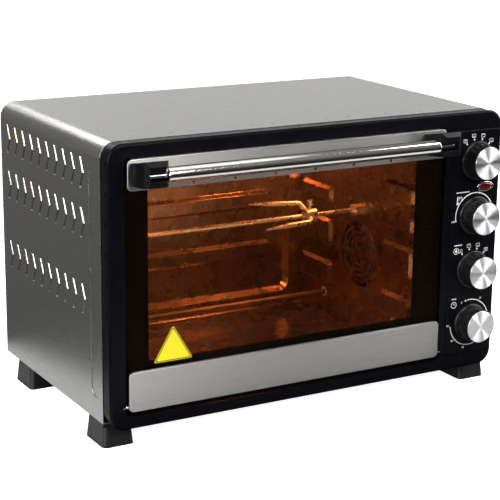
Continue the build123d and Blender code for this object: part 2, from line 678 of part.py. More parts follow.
with BuildPart() as crumb_tray:
    tray_x = (cavity_x[0] + TRAY_GAP, cavity_x[1] - TRAY_GAP)
    tray_y = (cavity_y[0] + TRAY_GAP, cavity_y[1] - CAVITY_BEND - TRAY_GAP)
    block(tray_x, tray_y, (cavity_z[0], cavity_z[0] + TRAY_RIM))
    offset(amount=-SHEET, openings=crumb_tray.faces().sort_by(Axis.Z)[-1])
save(crumb_tray, "crumb_tray")

# ---------------------------------------------------------------- heating rods and lamp
rod_ends = (cavity_x[0] - SHEET - HEATER_OVERHANG, cavity_x[1] + SHEET + HEATER_OVERHANG)
for level, height in (("upper", HEATER_HIGH), ("lower", HEATER_LOW)):
    for place, depth in HEATER_DEPTHS.items():
        with BuildPart() as heater:
            rod_x(*rod_ends, back(depth), up(height), HEATER_RADIUS)
            rod_x(rod_ends[0] - HEATER_PIN[1], rod_ends[1] + HEATER_PIN[1], back(depth),
                  up(height), HEATER_PIN[0])
        save(heater, f"{level}_heater_{place}")

with BuildPart() as heater_insulators:
    for height in (HEATER_HIGH, HEATER_LOW):
        for depth in HEATER_DEPTHS.values():
            for wall_inner, outwards in ((left_inner, -1), (right_inner, 1)):
                wall_outer = wall_inner + outwards * SHEET
                far = wall_outer + outwards * HEATER_OVERHANG / 2
                axis = (back(depth), up(height))
                rod_x(*sorted((wall_inner, far)), *axis, INSULATOR_RADIUS)
                rod_x(*sorted((wall_outer, far)), *axis, INSULATOR_RADIUS + INSULATOR_FLANGE)
                rod_x(*sorted((wall_inner, far)), *axis, HEATER_RADIUS, mode=Mode.SUBTRACT)
save(heater_insulators, "heater_insulators")

lamp_place = (back(LAMP_DEPTH), up(LAMP_HEIGHT))
with BuildPart() as lamp_cover:
    rod_x(left_inner, left_inner + LAMP_COVER[0], *lamp_place, LAMP_RADIUS)
    fillet(lamp_cover.faces().sort_by(Axis.X)[-1].edges(), LAMP_COVER[1])
    rod_x(left_inner, left_inner + LAMP_COVER[0] - LAMP_COVER_WALLS[1], *lamp_place,
          LAMP_RADIUS - LAMP_COVER_WALLS[0], mode=Mode.SUBTRACT)
save(lamp_cover, "lamp_cover")

with BuildPart() as lamp_holder:
    holder_face = left_inner - SHEET
    rod_x(holder_face - LAMP_HOLDER[1], holder_face, *lamp_place, LAMP_HOLDER[0])
    rod_x(holder_face - LAMP_SOCKET, holder_face, *lamp_place, BULB_RADIUS + CLEARANCE,
          mode=Mode.SUBTRACT)
save(lamp_holder, "lamp_holder")

with BuildPart() as oven_lamp:
    rod_x(holder_face - LAMP_SOCKET, left_inner + BULB_REACH, *lamp_place, BULB_RADIUS)
    fillet(oven_lamp.faces().sort_by(Axis.X)[-1].edges(), BULB_RADIUS - 1)
save(oven_lamp, "oven_lamp")

# ---------------------------------------------------------------- convection fan
fan_start = right_inner + SHEET + FAN_GAP
motor_start = fan_start + FAN_WIDTH + FAN_GAP
with BuildPart() as fan_shaft:
    rod_x(fan_start, motor_start + FAN_SHAFT_ENTRY, *fan_place, FAN_SHAFT_RADIUS)
save(fan_shaft, "fan_shaft")

with BuildPart() as fan_impeller:
    rod_x(fan_start, fan_start + FAN_WIDTH, *fan_place, FAN_HUB_RADIUS)
    rod_x(fan_start + FAN_WIDTH - SHEET, fan_start + FAN_WIDTH, *fan_place,
          FAN_RADIUS - FAN_TIP_GAP)
    with BuildSketch(Plane.YZ.offset(fan_start)):
        with Locations(fan_place):
            with PolarLocations((FAN_RADIUS + FAN_TIP_GAP) / 2, FAN_BLADES):
                Rectangle(FAN_RADIUS - FAN_TIP_GAP, FAN_BLADE)
    extrude(amount=FAN_WIDTH)
    rod_x(fan_start, fan_start + FAN_WIDTH, *fan_place, FAN_SHAFT_RADIUS, mode=Mode.SUBTRACT)
save(fan_impeller, "fan_impeller")

with BuildPart() as fan_motor:
    rod_x(motor_start, motor_start + MOTOR_LENGTH, *fan_place, MOTOR_RADIUS)
    flange_end = motor_start + MOTOR_FLANGE[1]
    rod_x(motor_start, flange_end, *fan_place, MOTOR_RADIUS + MOTOR_FLANGE[0])
    rod_x(motor_start, motor_start + FAN_BORE, *fan_place, FAN_SHAFT_RADIUS + RUNNING,
          mode=Mode.SUBTRACT)
    for angle in (45, 135, 225, 315):
        y, z = cos(radians(angle)), sin(radians(angle))
        rod_x(right_inner + SHEET, motor_start, fan_place[0] + MOTOR_LEG_CIRCLE * y,
              fan_place[1] + MOTOR_LEG_CIRCLE * z, MOTOR_LEG_RADIUS)
        rod_x(motor_start, flange_end, fan_place[0] + MOTOR_EAR_CIRCLE * y,
              fan_place[1] + MOTOR_EAR_CIRCLE * z, MOTOR_EAR_RADIUS)
save(fan_motor, "fan_motor")

# ---------------------------------------------------------------- rotisserie
spit_right = right_inner - SOCKET_REACH + SOCKET_BORE
spit_left = left_inner + SPIT_END_GAP
cradle_end = left_inner + CRADLE[0]
fork_x = spit_right - FORK_X

with BuildPart() as spit_shaft:
    rod_x(spit_left, spit_right, *spit_place, SPIT_RADIUS)
    chamfer(spit_shaft.faces().sort_by(Axis.X)[0].edges(), SPIT_RADIUS / 2)
save(spit_shaft, "spit_shaft")

with BuildPart() as spit_cradle:
    cradle_y = (spit_place[0] - CRADLE[1] / 2, spit_place[0] + CRADLE[1] / 2)
    cradle_z = (spit_place[1] - CRADLE[2] / 2, spit_place[1] + CRADLE[2] / 2)
    cradle_slot = SPIT_RADIUS + RUNNING
    block((left_inner, cradle_end), cradle_y, cradle_z)
    fillet(spit_cradle.edges().filter_by(Axis.X), CRADLE_ROUND)
    rod_x(left_inner + CRADLE_BASE, cradle_end, *spit_place, cradle_slot, mode=Mode.SUBTRACT)
    block((left_inner + CRADLE_BASE, cradle_end),
          (spit_place[0] - cradle_slot, spit_place[0] + cradle_slot),
          (spit_place[1], cradle_z[1]), mode=Mode.SUBTRACT)
save(spit_cradle, "spit_cradle")

with BuildPart() as drive_socket:
    stub_x = right_inner + SHEET + SOCKET_BACK
    rod_x(right_inner - SOCKET_REACH, stub_x, *spit_place, SOCKET_RADIUS)
    chamfer(drive_socket.faces().sort_by(Axis.X)[0].edges(), SOCKET_CHAMFER)
    rod_x(stub_x, stub_x + SOCKET_STUB[1], *spit_place, SOCKET_STUB[0])
    rod_x(right_inner - SOCKET_REACH, spit_right, *spit_place, SPIT_RADIUS, mode=Mode.SUBTRACT)
save(drive_socket, "drive_socket")

gearbox_x = right_inner + SHEET + GEARBOX_GAP
with BuildPart() as rotisserie_motor:
    block((gearbox_x, gearbox_x + GEARBOX),
          (spit_place[0] + GEARBOX_Y[0], spit_place[0] + GEARBOX_Y[1]),
          (spit_place[1] + GEARBOX_Z[0], spit_place[1] + GEARBOX_Z[1]))
    fillet(rotisserie_motor.edges().filter_by(Axis.X), GEARBOX_ROUND)
    rod_x(gearbox_x + GEARBOX, gearbox_x + GEARBOX + GEAR_MOTOR[1],
          spit_place[0] + GEAR_MOTOR_PLACE[0], spit_place[1] + GEAR_MOTOR_PLACE[1], GEAR_MOTOR[0])
    for y, z in GEARBOX_EARS:
        rod_x(right_inner + SHEET, gearbox_x, spit_place[0] + y, spit_place[1] + z, EAR_RADIUS)
    rod_x(gearbox_x, gearbox_x + GEARBOX_BORE, *spit_place, SOCKET_STUB[0] + RUNNING,
          mode=Mode.SUBTRACT)
save(rotisserie_motor, "rotisserie_motor")

hub_half = FORK_HUB[1] / 2
screw_seat = Plane.XY.offset(spit_place[1] + SPIT_RADIUS)
screw_place = (fork_x + FORK_HUB[0] / 2, spit_place[0])
with BuildPart() as spit_fork:
    rod_x(fork_x, fork_x + FORK_HUB[0], *spit_place, hub_half)
    for dy, dz in TINES:
        knee = Vector(fork_x, spit_place[0] + dy * TINE_SPLAY, spit_place[1] + dz * TINE_SPLAY)
        tip = Vector(fork_x - TINE_LENGTH, spit_place[0] + dy, spit_place[1] + dz)
        shank_end = knee + (tip - knee) * TINE_SHANK
        with BuildLine():
            tine_path = FilletPolyline((fork_x + FORK_HUB[0] / 2, *spit_place), knee, shank_end,
                                       radius=TINE_BEND)
        with BuildSketch(Plane(origin=tine_path @ 0, z_dir=tine_path % 0)):
            Circle(TINE_RADIUS)
        sweep(path=tine_path)
        with BuildSketch(Plane(origin=shank_end, z_dir=tip - knee)):
            Circle(TINE_RADIUS)
        with BuildSketch(Plane(origin=tip, z_dir=tip - knee)):
            Circle(TINE_POINT)
        loft()
    rod_x(fork_x - 2 * FORK_HUB[0], fork_x + 2 * FORK_HUB[0], *spit_place, SPIT_RADIUS,
          mode=Mode.SUBTRACT)
    with BuildSketch(screw_seat):
        with Locations(screw_place):
            Circle(FORK_SCREW[0])
    extrude(amount=FORK_SCREW[1], mode=Mode.SUBTRACT)
save(spit_fork, "spit_fork")

with BuildPart() as fork_screw:
    with BuildSketch(screw_seat):
        with Locations(screw_place):
            Circle(FORK_SCREW[0])
    extrude(amount=FORK_SCREW[1])
    with BuildSketch(Plane.XY.offset(spit_place[1] + SPIT_RADIUS + hub_half + FORK_THUMB[2])):
        with Locations(screw_place):
            Circle(FORK_THUMB[0])
    extrude(amount=FORK_THUMB[1])
save(fork_screw, "fork_screw")

# ---------------------------------------------------------------- control panel
with BuildPart() as control_panel:
    with BuildSketch(facing(PANEL_SEAT)):
        with Locations(panel_middle):
            RectangleRounded(*panel_size, PANEL_RADIUS)
    extrude(amount=PANEL_SEAT + PANEL_PROUD)
    fillet(control_panel.faces().sort_by(Axis.Y)[0].edges(), PANEL_ROUND)
    with BuildSketch(facing(PANEL_SEAT)):
        with Locations(*[(knob_x, up(height)) for height in KNOBS.values()]):
            Circle(SHAFT_HOLE)
        with Locations(lens_middle):
            Ellipse(*LENS_HALF)
    extrude(amount=PANEL_SEAT + PANEL_PROUD, mode=Mode.SUBTRACT)
save(control_panel, "control_panel")

panel_face = back(-PANEL_PROUD)
with BuildPart() as indicator_bezel:
    with BuildSketch(facing(-PANEL_PROUD)):
        with Locations(lens_middle):
            Ellipse(*BEZEL_HALF)
    extrude(amount=BEZEL_PROUD)
    fillet(indicator_bezel.faces().sort_by(Axis.Y)[0].edges(), BEZEL_PROUD / 2)
    with BuildSketch(facing(-PANEL_PROUD)):
        with Locations(lens_middle):
            Ellipse(*LENS_HALF)
    extrude(amount=BEZEL_PROUD, mode=Mode.SUBTRACT)
save(indicator_bezel, "indicator_bezel")

with BuildPart() as indicator_lens:
    with BuildSketch(facing(PANEL_SEAT + LENS_BACK)):
        with Locations(lens_middle):
            Ellipse(*LENS_HALF)
    extrude(amount=PANEL_SEAT + LENS_BACK + PANEL_PROUD + LENS_PROUD)
    fillet(indicator_lens.faces().sort_by(Axis.Y)[0].edges(), LENS_ROUND)
save(indicator_lens, "indicator_lens")

knob_base = panel_face - KNOB_GAP
knob_face = knob_base - KNOB_HEIGHT
cap_face = knob_face - CAP_PROUD
cap_back = cap_face + CAP_THICKNESS
shaft_end = knob_base - SHAFT_SEAT
switch_face = back(PANEL_SEAT + PANEL_PROUD)
for name, height in KNOBS.items():
    place = (knob_x, up(height))
    with BuildPart() as knob:
        rod_y(knob_base - KNOB_SKIRT[1], knob_base, *place, KNOB_SKIRT[0])
        fillet(knob.faces().sort_by(Axis.Y)[0].edges(), KNOB_SKIRT_ROUND)
        rod_y(knob_face, knob_base, *place, KNOB_RADIUS)
        chamfer(knob.faces().sort_by(Axis.Y)[0].edges(), KNOB_CHAMFER)
        rod_y(knob_face, cap_back, *place, CAP_RADIUS, mode=Mode.SUBTRACT)
        rod_y(shaft_end, knob_base, *place, SHAFT_RADIUS, mode=Mode.SUBTRACT)
    save(knob, name + "_knob")

    with BuildPart() as cap:
        rod_y(cap_face, cap_back, *place, CAP_RADIUS)
        chamfer(cap.faces().sort_by(Axis.Y)[0].edges(), CAP_PROUD)
        pointer = radians(POINTER_ANGLES[name])
        rod_y(cap_face, cap_face + POINTER_DEPTH, place[0] + POINTER[1] * cos(pointer),
              place[1] + POINTER[1] * sin(pointer), POINTER[0], mode=Mode.SUBTRACT)
    save(cap, name + "_knob_cap")

    with BuildPart() as shaft:
        rod_y(shaft_end, switch_face + SWITCH_ENTRY, *place, SHAFT_RADIUS)
    save(shaft, name + "_shaft")

    with BuildPart() as switch:
        half_x = SWITCH[0] / 2
        half_z = SWITCH[2] / 2
        block((place[0] - half_x, place[0] + half_x), (switch_face, switch_face + SWITCH[1]),
              (place[1] - half_z, place[1] + half_z))
        fillet(switch.edges().filter_by(Axis.Y), SWITCH_ROUND)
        rod_y(back(PANEL_SEAT), switch_face, *place, SHAFT_RADIUS + SWITCH_BUSH)
        rod_y(back(PANEL_SEAT), switch_face + SWITCH_ENTRY + SWITCH_END_GAP, *place,
              SHAFT_RADIUS + RUNNING, mode=Mode.SUBTRACT)
        for x in (place[0] - TERMINAL_PLACE, place[0] + TERMINAL_PLACE):
            block((x - TERMINAL[0] / 2, x + TERMINAL[0] / 2),
                  (switch_face + SWITCH[1], switch_face + SWITCH[1] + TERMINAL[1]),
                  (place[1] - TERMINAL[2] / 2, place[1] + TERMINAL[2] / 2))
    save(switch, SWITCH_NAMES[name])

# ---------------------------------------------------------------- door
glass_y = (back(GLASS_FACE), back(GLASS_FACE + GLASS))
trim_front = back(-DOOR_PROUD)
trim_back = glass_y[1] + TRIM
bar_place = (back(-BAR_REACH), door_z[1] - BAR_DROP)
bracket_x = {
    "left": (door_x[0] + BRACKET_INSET, door_x[0] + BRACKET_INSET + BRACKET_WIDTH),
    "right": (door_x[1] - BRACKET_INSET - BRACKET_WIDTH, door_x[1] - BRACKET_INSET),
}
screw_places = [((x[0] + x[1]) / 2, door_z[1] - HANDLE_SCREW_DROP) for x in bracket_x.values()]


def trim_pan(low, high):
    """A shallow pressed pan across the door, in front of the glass."""
    size = (door_width, high - low)
    middle = (door_middle, (low + high) / 2)
    with BuildSketch(Plane.XZ.offset(-glass_y[0])) as outline:
        with Locations(middle):
            RectangleRounded(*size, TRIM_RADIUS)
    extrude(outline.sketch, amount=glass_y[0] - trim_front)
    return middle, size


def hollow_pan(middle, size):
    """Opens the pan from behind, so that sheet walls are left."""
    with BuildSketch(Plane.XZ.offset(-glass_y[0])) as inside:
        with Locations(middle):
            RectangleRounded(size[0] - 2 * TRIM, size[1] - 2 * TRIM, TRIM_RADIUS - TRIM)
    extrude(inside.sketch, amount=glass_y[0] - trim_front - TRIM, mode=Mode.SUBTRACT)


glass_z = (door_z[0] + HINGE_RISE + HINGE_RADIUS + GLASS_SEAT, door_z[1] - TRIM)
with BuildPart() as door_glass:
    block(door_x, glass_y, glass_z)
    for place in screw_places:
        rod_y(*glass_y, *place, HANDLE_SCREW, mode=Mode.SUBTRACT)
save(door_glass, "door_glass")

with BuildPart() as door_top_trim:
    pan = trim_pan(door_z[1] - TOP_TRIM, door_z[1])
    fillet(door_top_trim.faces().sort_by(Axis.Y)[0].edges(), TRIM_ROUND)
    hollow_pan(*pan)
    flat_x = (door_x[0] + TRIM_RADIUS, door_x[1] - TRIM_RADIUS)
    block(flat_x, (glass_y[0] - TRIM, trim_back), (door_z[1] - TRIM, door_z[1]))
    block(flat_x, (glass_y[1], trim_back), (door_z[1] - TOP_TRIM_LAP, door_z[1]))
    for i in range(TRIM_NOTCHES):
        x = door_middle + (i - (TRIM_NOTCHES - 1) / 2) * TRIM_NOTCH_PITCH
        rod_y(trim_front - OVERCUT, glass_y[0], x, door_z[1] - TOP_TRIM + TRIM_NOTCH_RADIUS + TRIM,
              TRIM_NOTCH_RADIUS, mode=Mode.SUBTRACT)
    for place in screw_places:
        rod_y(trim_front, trim_back, *place, HANDLE_SCREW, mode=Mode.SUBTRACT)
save(door_top_trim, "door_top_trim")

with BuildPart() as door_bottom_trim:
    pan = trim_pan(door_z[0], door_z[0] + BOTTOM_TRIM)
    fillet(door_bottom_trim.faces().sort_by(Axis.Y)[0].edges(), TRIM_ROUND)
    hollow_pan(*pan)
    block(flat_x, (glass_y[0] - TRIM, trim_back), (door_z[0], door_z[0] + TRIM))
    block(flat_x, (glass_y[1], trim_back), (door_z[0], door_z[0] + BOTTOM_TRIM_LAP))
    rod_x(door_x[0], door_x[0] + 2 * TRIM, hinge_y, hinge_z, HINGE_RADIUS, mode=Mode.SUBTRACT)
    rod_x(door_x[1] - 2 * TRIM, door_x[1], hinge_y, hinge_z, HINGE_RADIUS, mode=Mode.SUBTRACT)
save(door_bottom_trim, "door_bottom_trim")

for side, inwards in (("left", 1), ("right", -1)):
    door_side = door_x[0] if inwards == 1 else door_x[1]
    flange_outer = opening_x[0] - FLANGE if inwards == 1 else opening_x[1] + FLANGE
    with BuildPart() as hinge_pin:
        tab_x = sorted((door_side + inwards * (TRIM_RADIUS + 1), door_side + inwards * HINGE_TAB))
        block(tab_x, (glass_y[0] - TRIM, glass_y[1]), (door_z[0] + TRIM, glass_z[0]))
        rod_x(*sorted((flange_outer - inwards, door_side + inwards * HINGE_TAB / 2)),
              hinge_y, hinge_z, HINGE_RADIUS)
    save(hinge_pin, "hinge_pin_" + side)

# ---------------------------------------------------------------- handle
with BuildPart() as handle_bar:
    rod_x(bracket_x["left"][1], bracket_x["right"][0], *bar_place, BAR_RADIUS)
    fillet(handle_bar.edges().filter_by(GeomType.CIRCLE), BAR_ROUND)
    rod_x(bracket_x["left"][1] - STUB_LENGTH, bracket_x["right"][0] + STUB_LENGTH, *bar_place,
          STUB_RADIUS)
    for x, outwards in ((bracket_x["left"][1], -1), (bracket_x["right"][0], 1)):
        collar_x = x + outwards * STUB_LENGTH
        rod_x(*sorted((collar_x, collar_x - outwards * COLLAR[1])), *bar_place, COLLAR[0])
save(handle_bar, "handle_bar")

bracket_profile = [
    (trim_front, door_z[1] - BRACKET_BOTTOM),
    (back(-HANDLE_REACH), door_z[1] - BRACKET_FACE[0]),
    (back(-HANDLE_REACH), door_z[1] - BRACKET_FACE[1] - BRACKET_CHAMFER),
    (back(-HANDLE_REACH) + BRACKET_CHAMFER, door_z[1] - BRACKET_FACE[1]),
    (trim_front, door_z[1] - BRACKET_BOTTOM + BRACKET_BASE),
]
for side, x in bracket_x.items():
    inner = x[1] if side == "left" else x[0]
    inwards = 1 if side == "left" else -1
    pocket = sorted((inner, inner - inwards * (STUB_LENGTH + POCKET_GAP)))
    with BuildPart() as bracket:
        with BuildSketch(Plane.YZ.offset(x[0])):
            Polygon(*bracket_profile, align=None)
        extrude(amount=BRACKET_WIDTH)
        front_edges = bracket.faces().sort_by(Axis.Y)[0].edges().filter_by(Axis.Z)
        chamfer(front_edges, BRACKET_CHAMFER)
        rod_x(*pocket, *bar_place, COLLAR[0], mode=Mode.SUBTRACT)
        block(pocket, (back(-HANDLE_REACH), bar_place[0]),
              (bar_place[1] - COLLAR[0], bar_place[1] + COLLAR[0]), mode=Mode.SUBTRACT)
        rod_y(trim_front - HANDLE_SCREW_REACH, trim_front, sum(x) / 2,
              door_z[1] - HANDLE_SCREW_DROP, HANDLE_SCREW, mode=Mode.SUBTRACT)
    save(bracket, "handle_bracket_" + side)

with BuildPart() as handle_screws:
    for place in screw_places:
        rod_y(trim_front - HANDLE_SCREW_REACH, trim_back, *place, HANDLE_SCREW)
        rod_y(trim_back, trim_back + HANDLE_SCREW_HEAD[1], *place, HANDLE_SCREW_HEAD[0])
save(handle_screws, "handle_screws")
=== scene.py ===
import json
from math import acos, atan2, cos, pi, radians, sin

import bmesh
import bpy
from mathutils import Matrix, Vector


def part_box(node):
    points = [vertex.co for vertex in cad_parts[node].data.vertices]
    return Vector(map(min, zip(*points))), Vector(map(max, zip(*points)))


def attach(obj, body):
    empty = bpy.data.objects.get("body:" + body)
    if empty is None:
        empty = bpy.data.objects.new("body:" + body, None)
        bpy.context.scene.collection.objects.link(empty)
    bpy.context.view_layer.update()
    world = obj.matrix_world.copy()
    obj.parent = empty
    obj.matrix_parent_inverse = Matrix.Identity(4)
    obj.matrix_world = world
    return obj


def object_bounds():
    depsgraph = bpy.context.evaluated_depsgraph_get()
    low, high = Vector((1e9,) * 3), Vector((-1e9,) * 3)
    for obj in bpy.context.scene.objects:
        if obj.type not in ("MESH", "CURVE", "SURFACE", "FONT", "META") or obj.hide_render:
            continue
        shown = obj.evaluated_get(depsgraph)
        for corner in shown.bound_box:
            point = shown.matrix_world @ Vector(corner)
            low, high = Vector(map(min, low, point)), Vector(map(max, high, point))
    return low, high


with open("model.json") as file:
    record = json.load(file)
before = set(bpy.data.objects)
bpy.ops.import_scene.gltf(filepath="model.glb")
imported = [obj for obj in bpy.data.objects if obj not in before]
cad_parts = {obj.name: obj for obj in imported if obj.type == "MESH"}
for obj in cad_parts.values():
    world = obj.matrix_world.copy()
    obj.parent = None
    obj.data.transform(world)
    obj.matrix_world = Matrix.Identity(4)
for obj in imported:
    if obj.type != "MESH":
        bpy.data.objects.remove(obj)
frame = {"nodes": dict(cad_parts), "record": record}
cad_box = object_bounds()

# Looks of a countertop convection oven: the materials of its CAD pieces, and the thin pieces
# that only matter to the eye, such as prints, louvre blades and a label. Lengths are in metres,
# angles in degrees, and texture scales are per metre.
MM = 0.001
SHARP_EDGE = 35     # edges that turn by more than this stay sharp

# ---------------------------------------------------------------- places, from the frame
frame_low, frame_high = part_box("front_frame")
casing_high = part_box("outer_casing")[1]
glass_low, glass_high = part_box("door_glass")
panel_low, panel_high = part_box("control_panel")
top_trim_low, top_trim_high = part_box("door_top_trim")
bottom_trim_low, bottom_trim_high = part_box("door_bottom_trim")
cavity_low, cavity_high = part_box("cavity_liner")
object_middle = (cad_box[0] + cad_box[1]) / 2


def middle_of(node):
    low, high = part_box(node)
    return (low + high) / 2


# ---------------------------------------------------------------- material helpers
class Finish:
    """A material with one Principled shader, built up by short calls."""

    def __init__(self, name, colour, roughness, metallic=0.0, **sockets):
        self.material = bpy.data.materials.new(name)
        self.material.use_nodes = True
        self.tree = self.material.node_tree
        self.shader = self.tree.nodes["Principled BSDF"]
        self.colour = colour
        self.roughness = roughness
        self.shader.inputs["Base Color"].default_value = (*colour, 1)
        self.shader.inputs["Roughness"].default_value = roughness
        self.shader.inputs["Metallic"].default_value = metallic
        for socket, value in sockets.items():
            self.shader.inputs[socket.replace("_", " ")].default_value = value
        self.normal = None

    def node(self, kind, **settings):
        made = self.tree.nodes.new("ShaderNode" + kind)
        for key, value in settings.items():
            setattr(made, key, value)
        return made

    def link(self, output, socket):
        self.tree.links.new(output, socket)

    def coordinates(self, stretch=(1, 1, 1)):
        """The row frame's coordinates in metres, stretched along the axes."""
        place = self.node("TexCoord").outputs["Object"]
        mapping = self.node("Mapping")
        mapping.inputs["Scale"].default_value = stretch
        self.link(place, mapping.inputs["Vector"])
        return mapping.outputs["Vector"]

    def noise(self, scale, stretch=(1, 1, 1), detail=3.0):
        made = self.node("TexNoise")
        made.inputs["Scale"].default_value = scale
        made.inputs["Detail"].default_value = detail
        made.inputs["Roughness"].default_value = 0.55
        self.link(self.coordinates(stretch), made.inputs["Vector"])
        return made.outputs["Fac"]

    def cells(self, scale):
        """A random value for each cell of a crystal pattern."""
        made = self.node("TexVoronoi")
        made.inputs["Scale"].default_value = scale
        self.link(self.coordinates(), made.inputs["Vector"])
        split = self.node("SeparateColor")
        self.link(made.outputs["Color"], split.inputs["Color"])
        return split.outputs["Red"]

    def spread(self, value, low, high, start=0.3, end=0.7):
        """A value from a texture, mapped to lie between low and high."""
        made = self.node("MapRange")
        made.inputs["From Min"].default_value = start
        made.inputs["From Max"].default_value = end
        made.inputs["To Min"].default_value = low
        made.inputs["To Max"].default_value = high
        self.link(value, made.inputs["Value"])
        return made.outputs["Result"]

    def vary_colour(self, value, spread, tint=(1, 1, 1)):
        """The base colour, from darker to lighter by a share, as the value goes from 0 to 1."""
        ramp = self.node("ValToRGB")
        dark = [c * (1 - spread) for c in self.colour]
        light = [min(1.0, c * (1 + spread) * t) for c, t in zip(self.colour, tint)]
        ramp.color_ramp.elements[0].position = 0.3
        ramp.color_ramp.elements[1].position = 0.7
        ramp.color_ramp.elements[0].color = (*dark, 1)
        ramp.color_ramp.elements[1].color = (*light, 1)
        self.link(value, ramp.inputs["Fac"])
        self.link(ramp.outputs["Color"], self.shader.inputs["Base Color"])

    def vary_roughness(self, value, spread):
        """The roughness, from lower to higher by this much, with the value."""
        low, high = self.roughness - spread, self.roughness + spread
        self.link(self.spread(value, low, high), self.shader.inputs["Roughness"])

    def bevel(self, radius):
        """Rounds the shading of sharp edges, as paint and deburring do."""
        made = self.node("Bevel", samples=4)
        made.inputs["Radius"].default_value = radius
        self.normal = made.outputs["Normal"]
        self.link(self.normal, self.shader.inputs["Normal"])

    def bump(self, value, depth):
        """A relief of this depth, on top of the bevel if there is one."""
        made = self.node("Bump")
        made.inputs["Strength"].default_value = 1.0
        made.inputs["Distance"].default_value = depth
        self.link(value, made.inputs["Height"])
        if self.normal:
            self.link(self.normal, made.inputs["Normal"])
        self.normal = made.outputs["Normal"]
        self.link(self.normal, self.shader.inputs["Normal"])


def brushed(name, colour, roughness, along, across=None, **sockets):
    """Metal with fine scratches along one axis: 0 is X, 1 is Y and 2 is Z. Across is the axis
    that its highlights are drawn out along."""
    finish = Finish(name, colour, roughness, metallic=1.0, **sockets)
    if across is not None:
        direction = finish.node("CombineXYZ")
        direction.inputs[across].default_value = 1.0
        finish.link(direction.outputs["Vector"], finish.shader.inputs["Tangent"])
    fine = [1.0, 1.0, 1.0]
    fine[along] = 0.01
    broad = [1.0, 1.0, 1.0]
    broad[along] = 0.04
    finish.bevel(0.5 * MM)
    scratches = finish.noise(2600, fine, detail=2.0)
    finish.vary_roughness(scratches, 0.06)
    finish.bump(scratches, 0.02 * MM)
    finish.vary_colour(finish.noise(420, broad, detail=4.0), 0.05)
    return finish.material


def turned(name, colour, roughness, **sockets):
    """Polished or turned metal with faint handling marks."""
    finish = Finish(name, colour, roughness, metallic=1.0, **sockets)
    finish.bevel(0.3 * MM)
    marks = finish.noise(160, detail=5.0)
    finish.vary_roughness(marks, roughness * 0.35)
    finish.vary_colour(finish.noise(35), 0.04)
    finish.bump(finish.noise(900), 0.004 * MM)
    return finish.material


def spangled(name, colour, roughness):
    """Hot-dip coated sheet, with its faint crystal pattern."""
    finish = Finish(name, colour, roughness, metallic=0.9)
    finish.bevel(0.5 * MM)
    crystals = finish.cells(110)
    finish.vary_colour(crystals, 0.10)
    finish.vary_roughness(crystals, 0.05)
    finish.bump(finish.noise(700), 0.01 * MM)
    return finish.material


def sheet_enamel(name, colour, roughness):
    """The cavity's coated sheet: almost bare metal, with soft stains from use."""
    finish = Finish(name, colour, roughness, metallic=0.95)
    finish.bevel(0.8 * MM)
    stains = finish.noise(14, detail=6.0)
    finish.vary_colour(stains, 0.14, tint=(1.0, 0.96, 0.90))
    finish.vary_roughness(finish.noise(55, detail=5.0), 0.05)
    finish.bump(finish.noise(120, detail=1.0), 0.001 * MM)
    return finish.material


def enamel(name, colour, roughness, **sockets):
    """Sprayed gloss paint, with a slight orange peel and dust-fine variation."""
    finish = Finish(name, colour, roughness, **sockets)
    finish.bevel(0.8 * MM)
    finish.vary_roughness(finish.noise(60, detail=4.0), 0.05)
    finish.vary_colour(finish.noise(25), 0.12)
    finish.bump(finish.noise(420, detail=1.0), 0.012 * MM)
    return finish.material


def moulded(name, colour, roughness, grain, **sockets):
    """Moulded plastic with a fine pebble grain of this depth."""
    finish = Finish(name, colour, roughness, **sockets)
    finish.bevel(0.6 * MM)
    pebbles = finish.noise(1500, detail=2.0)
    finish.vary_roughness(pebbles, 0.06)
    finish.vary_colour(finish.noise(45), 0.12)
    finish.bump(pebbles, grain)
    return finish.material


def ceramic_body(name):
    """Unglazed white ceramic."""
    finish = Finish(name, (0.80, 0.77, 0.70), 0.55)
    finish.bevel(0.4 * MM)
    finish.vary_colour(finish.noise(300), 0.06)
    finish.bump(finish.noise(1200), 0.02 * MM)
    return finish.material


def clear_glass(name, tint, roughness, ior):
    """Glass with faint smears, which show in its roughness."""
    finish = Finish(name, tint, roughness, Transmission_Weight=1.0, IOR=ior)
    smears = finish.noise(9, stretch=(1, 1, 2.5), detail=5.0)
    finish.link(finish.spread(smears, roughness, roughness + 0.03, 0.45, 0.75),
                finish.shader.inputs["Roughness"])
    finish.vary_colour(finish.noise(4), 0.015)
    return finish.material


def red_lens(name):
    """Clear red plastic over a dark lamp, ribbed up and down."""
    finish = Finish(name, (0.10, 0.002, 0.004), 0.12, Coat_Weight=0.6, Coat_Roughness=0.05)
    finish.bevel(0.5 * MM)
    ribs = finish.noise(500, stretch=(1, 1, 0.1), detail=1.0)
    finish.vary_colour(ribs, 0.35)
    finish.bump(ribs, 0.03 * MM)
    return finish.material


def glowing_bulb(name):
    """A lit bulb, which gives off a warm light."""
    finish = Finish(name, (1.0, 0.72, 0.40), 0.3, Emission_Strength=18.0)
    finish.shader.inputs["Emission Color"].default_value = (1.0, 0.55, 0.20, 1)
    finish.vary_colour(finish.noise(600), 0.05)
    return finish.material


def spun_face(name):
    """Aluminium turned on a lathe: rings round the Y axis, which pull its highlights radially."""
    finish = Finish(name, (0.91, 0.91, 0.92), 0.45, metallic=1.0, Anisotropic=0.97,
                    Anisotropic_Rotation=0.25)
    finish.link(finish.node("Tangent", direction_type="RADIAL", axis="Y").outputs["Tangent"],
                finish.shader.inputs["Tangent"])
    finish.vary_colour(finish.noise(90, detail=4.0), 0.03)
    finish.vary_roughness(finish.noise(800), 0.03)
    return finish.material


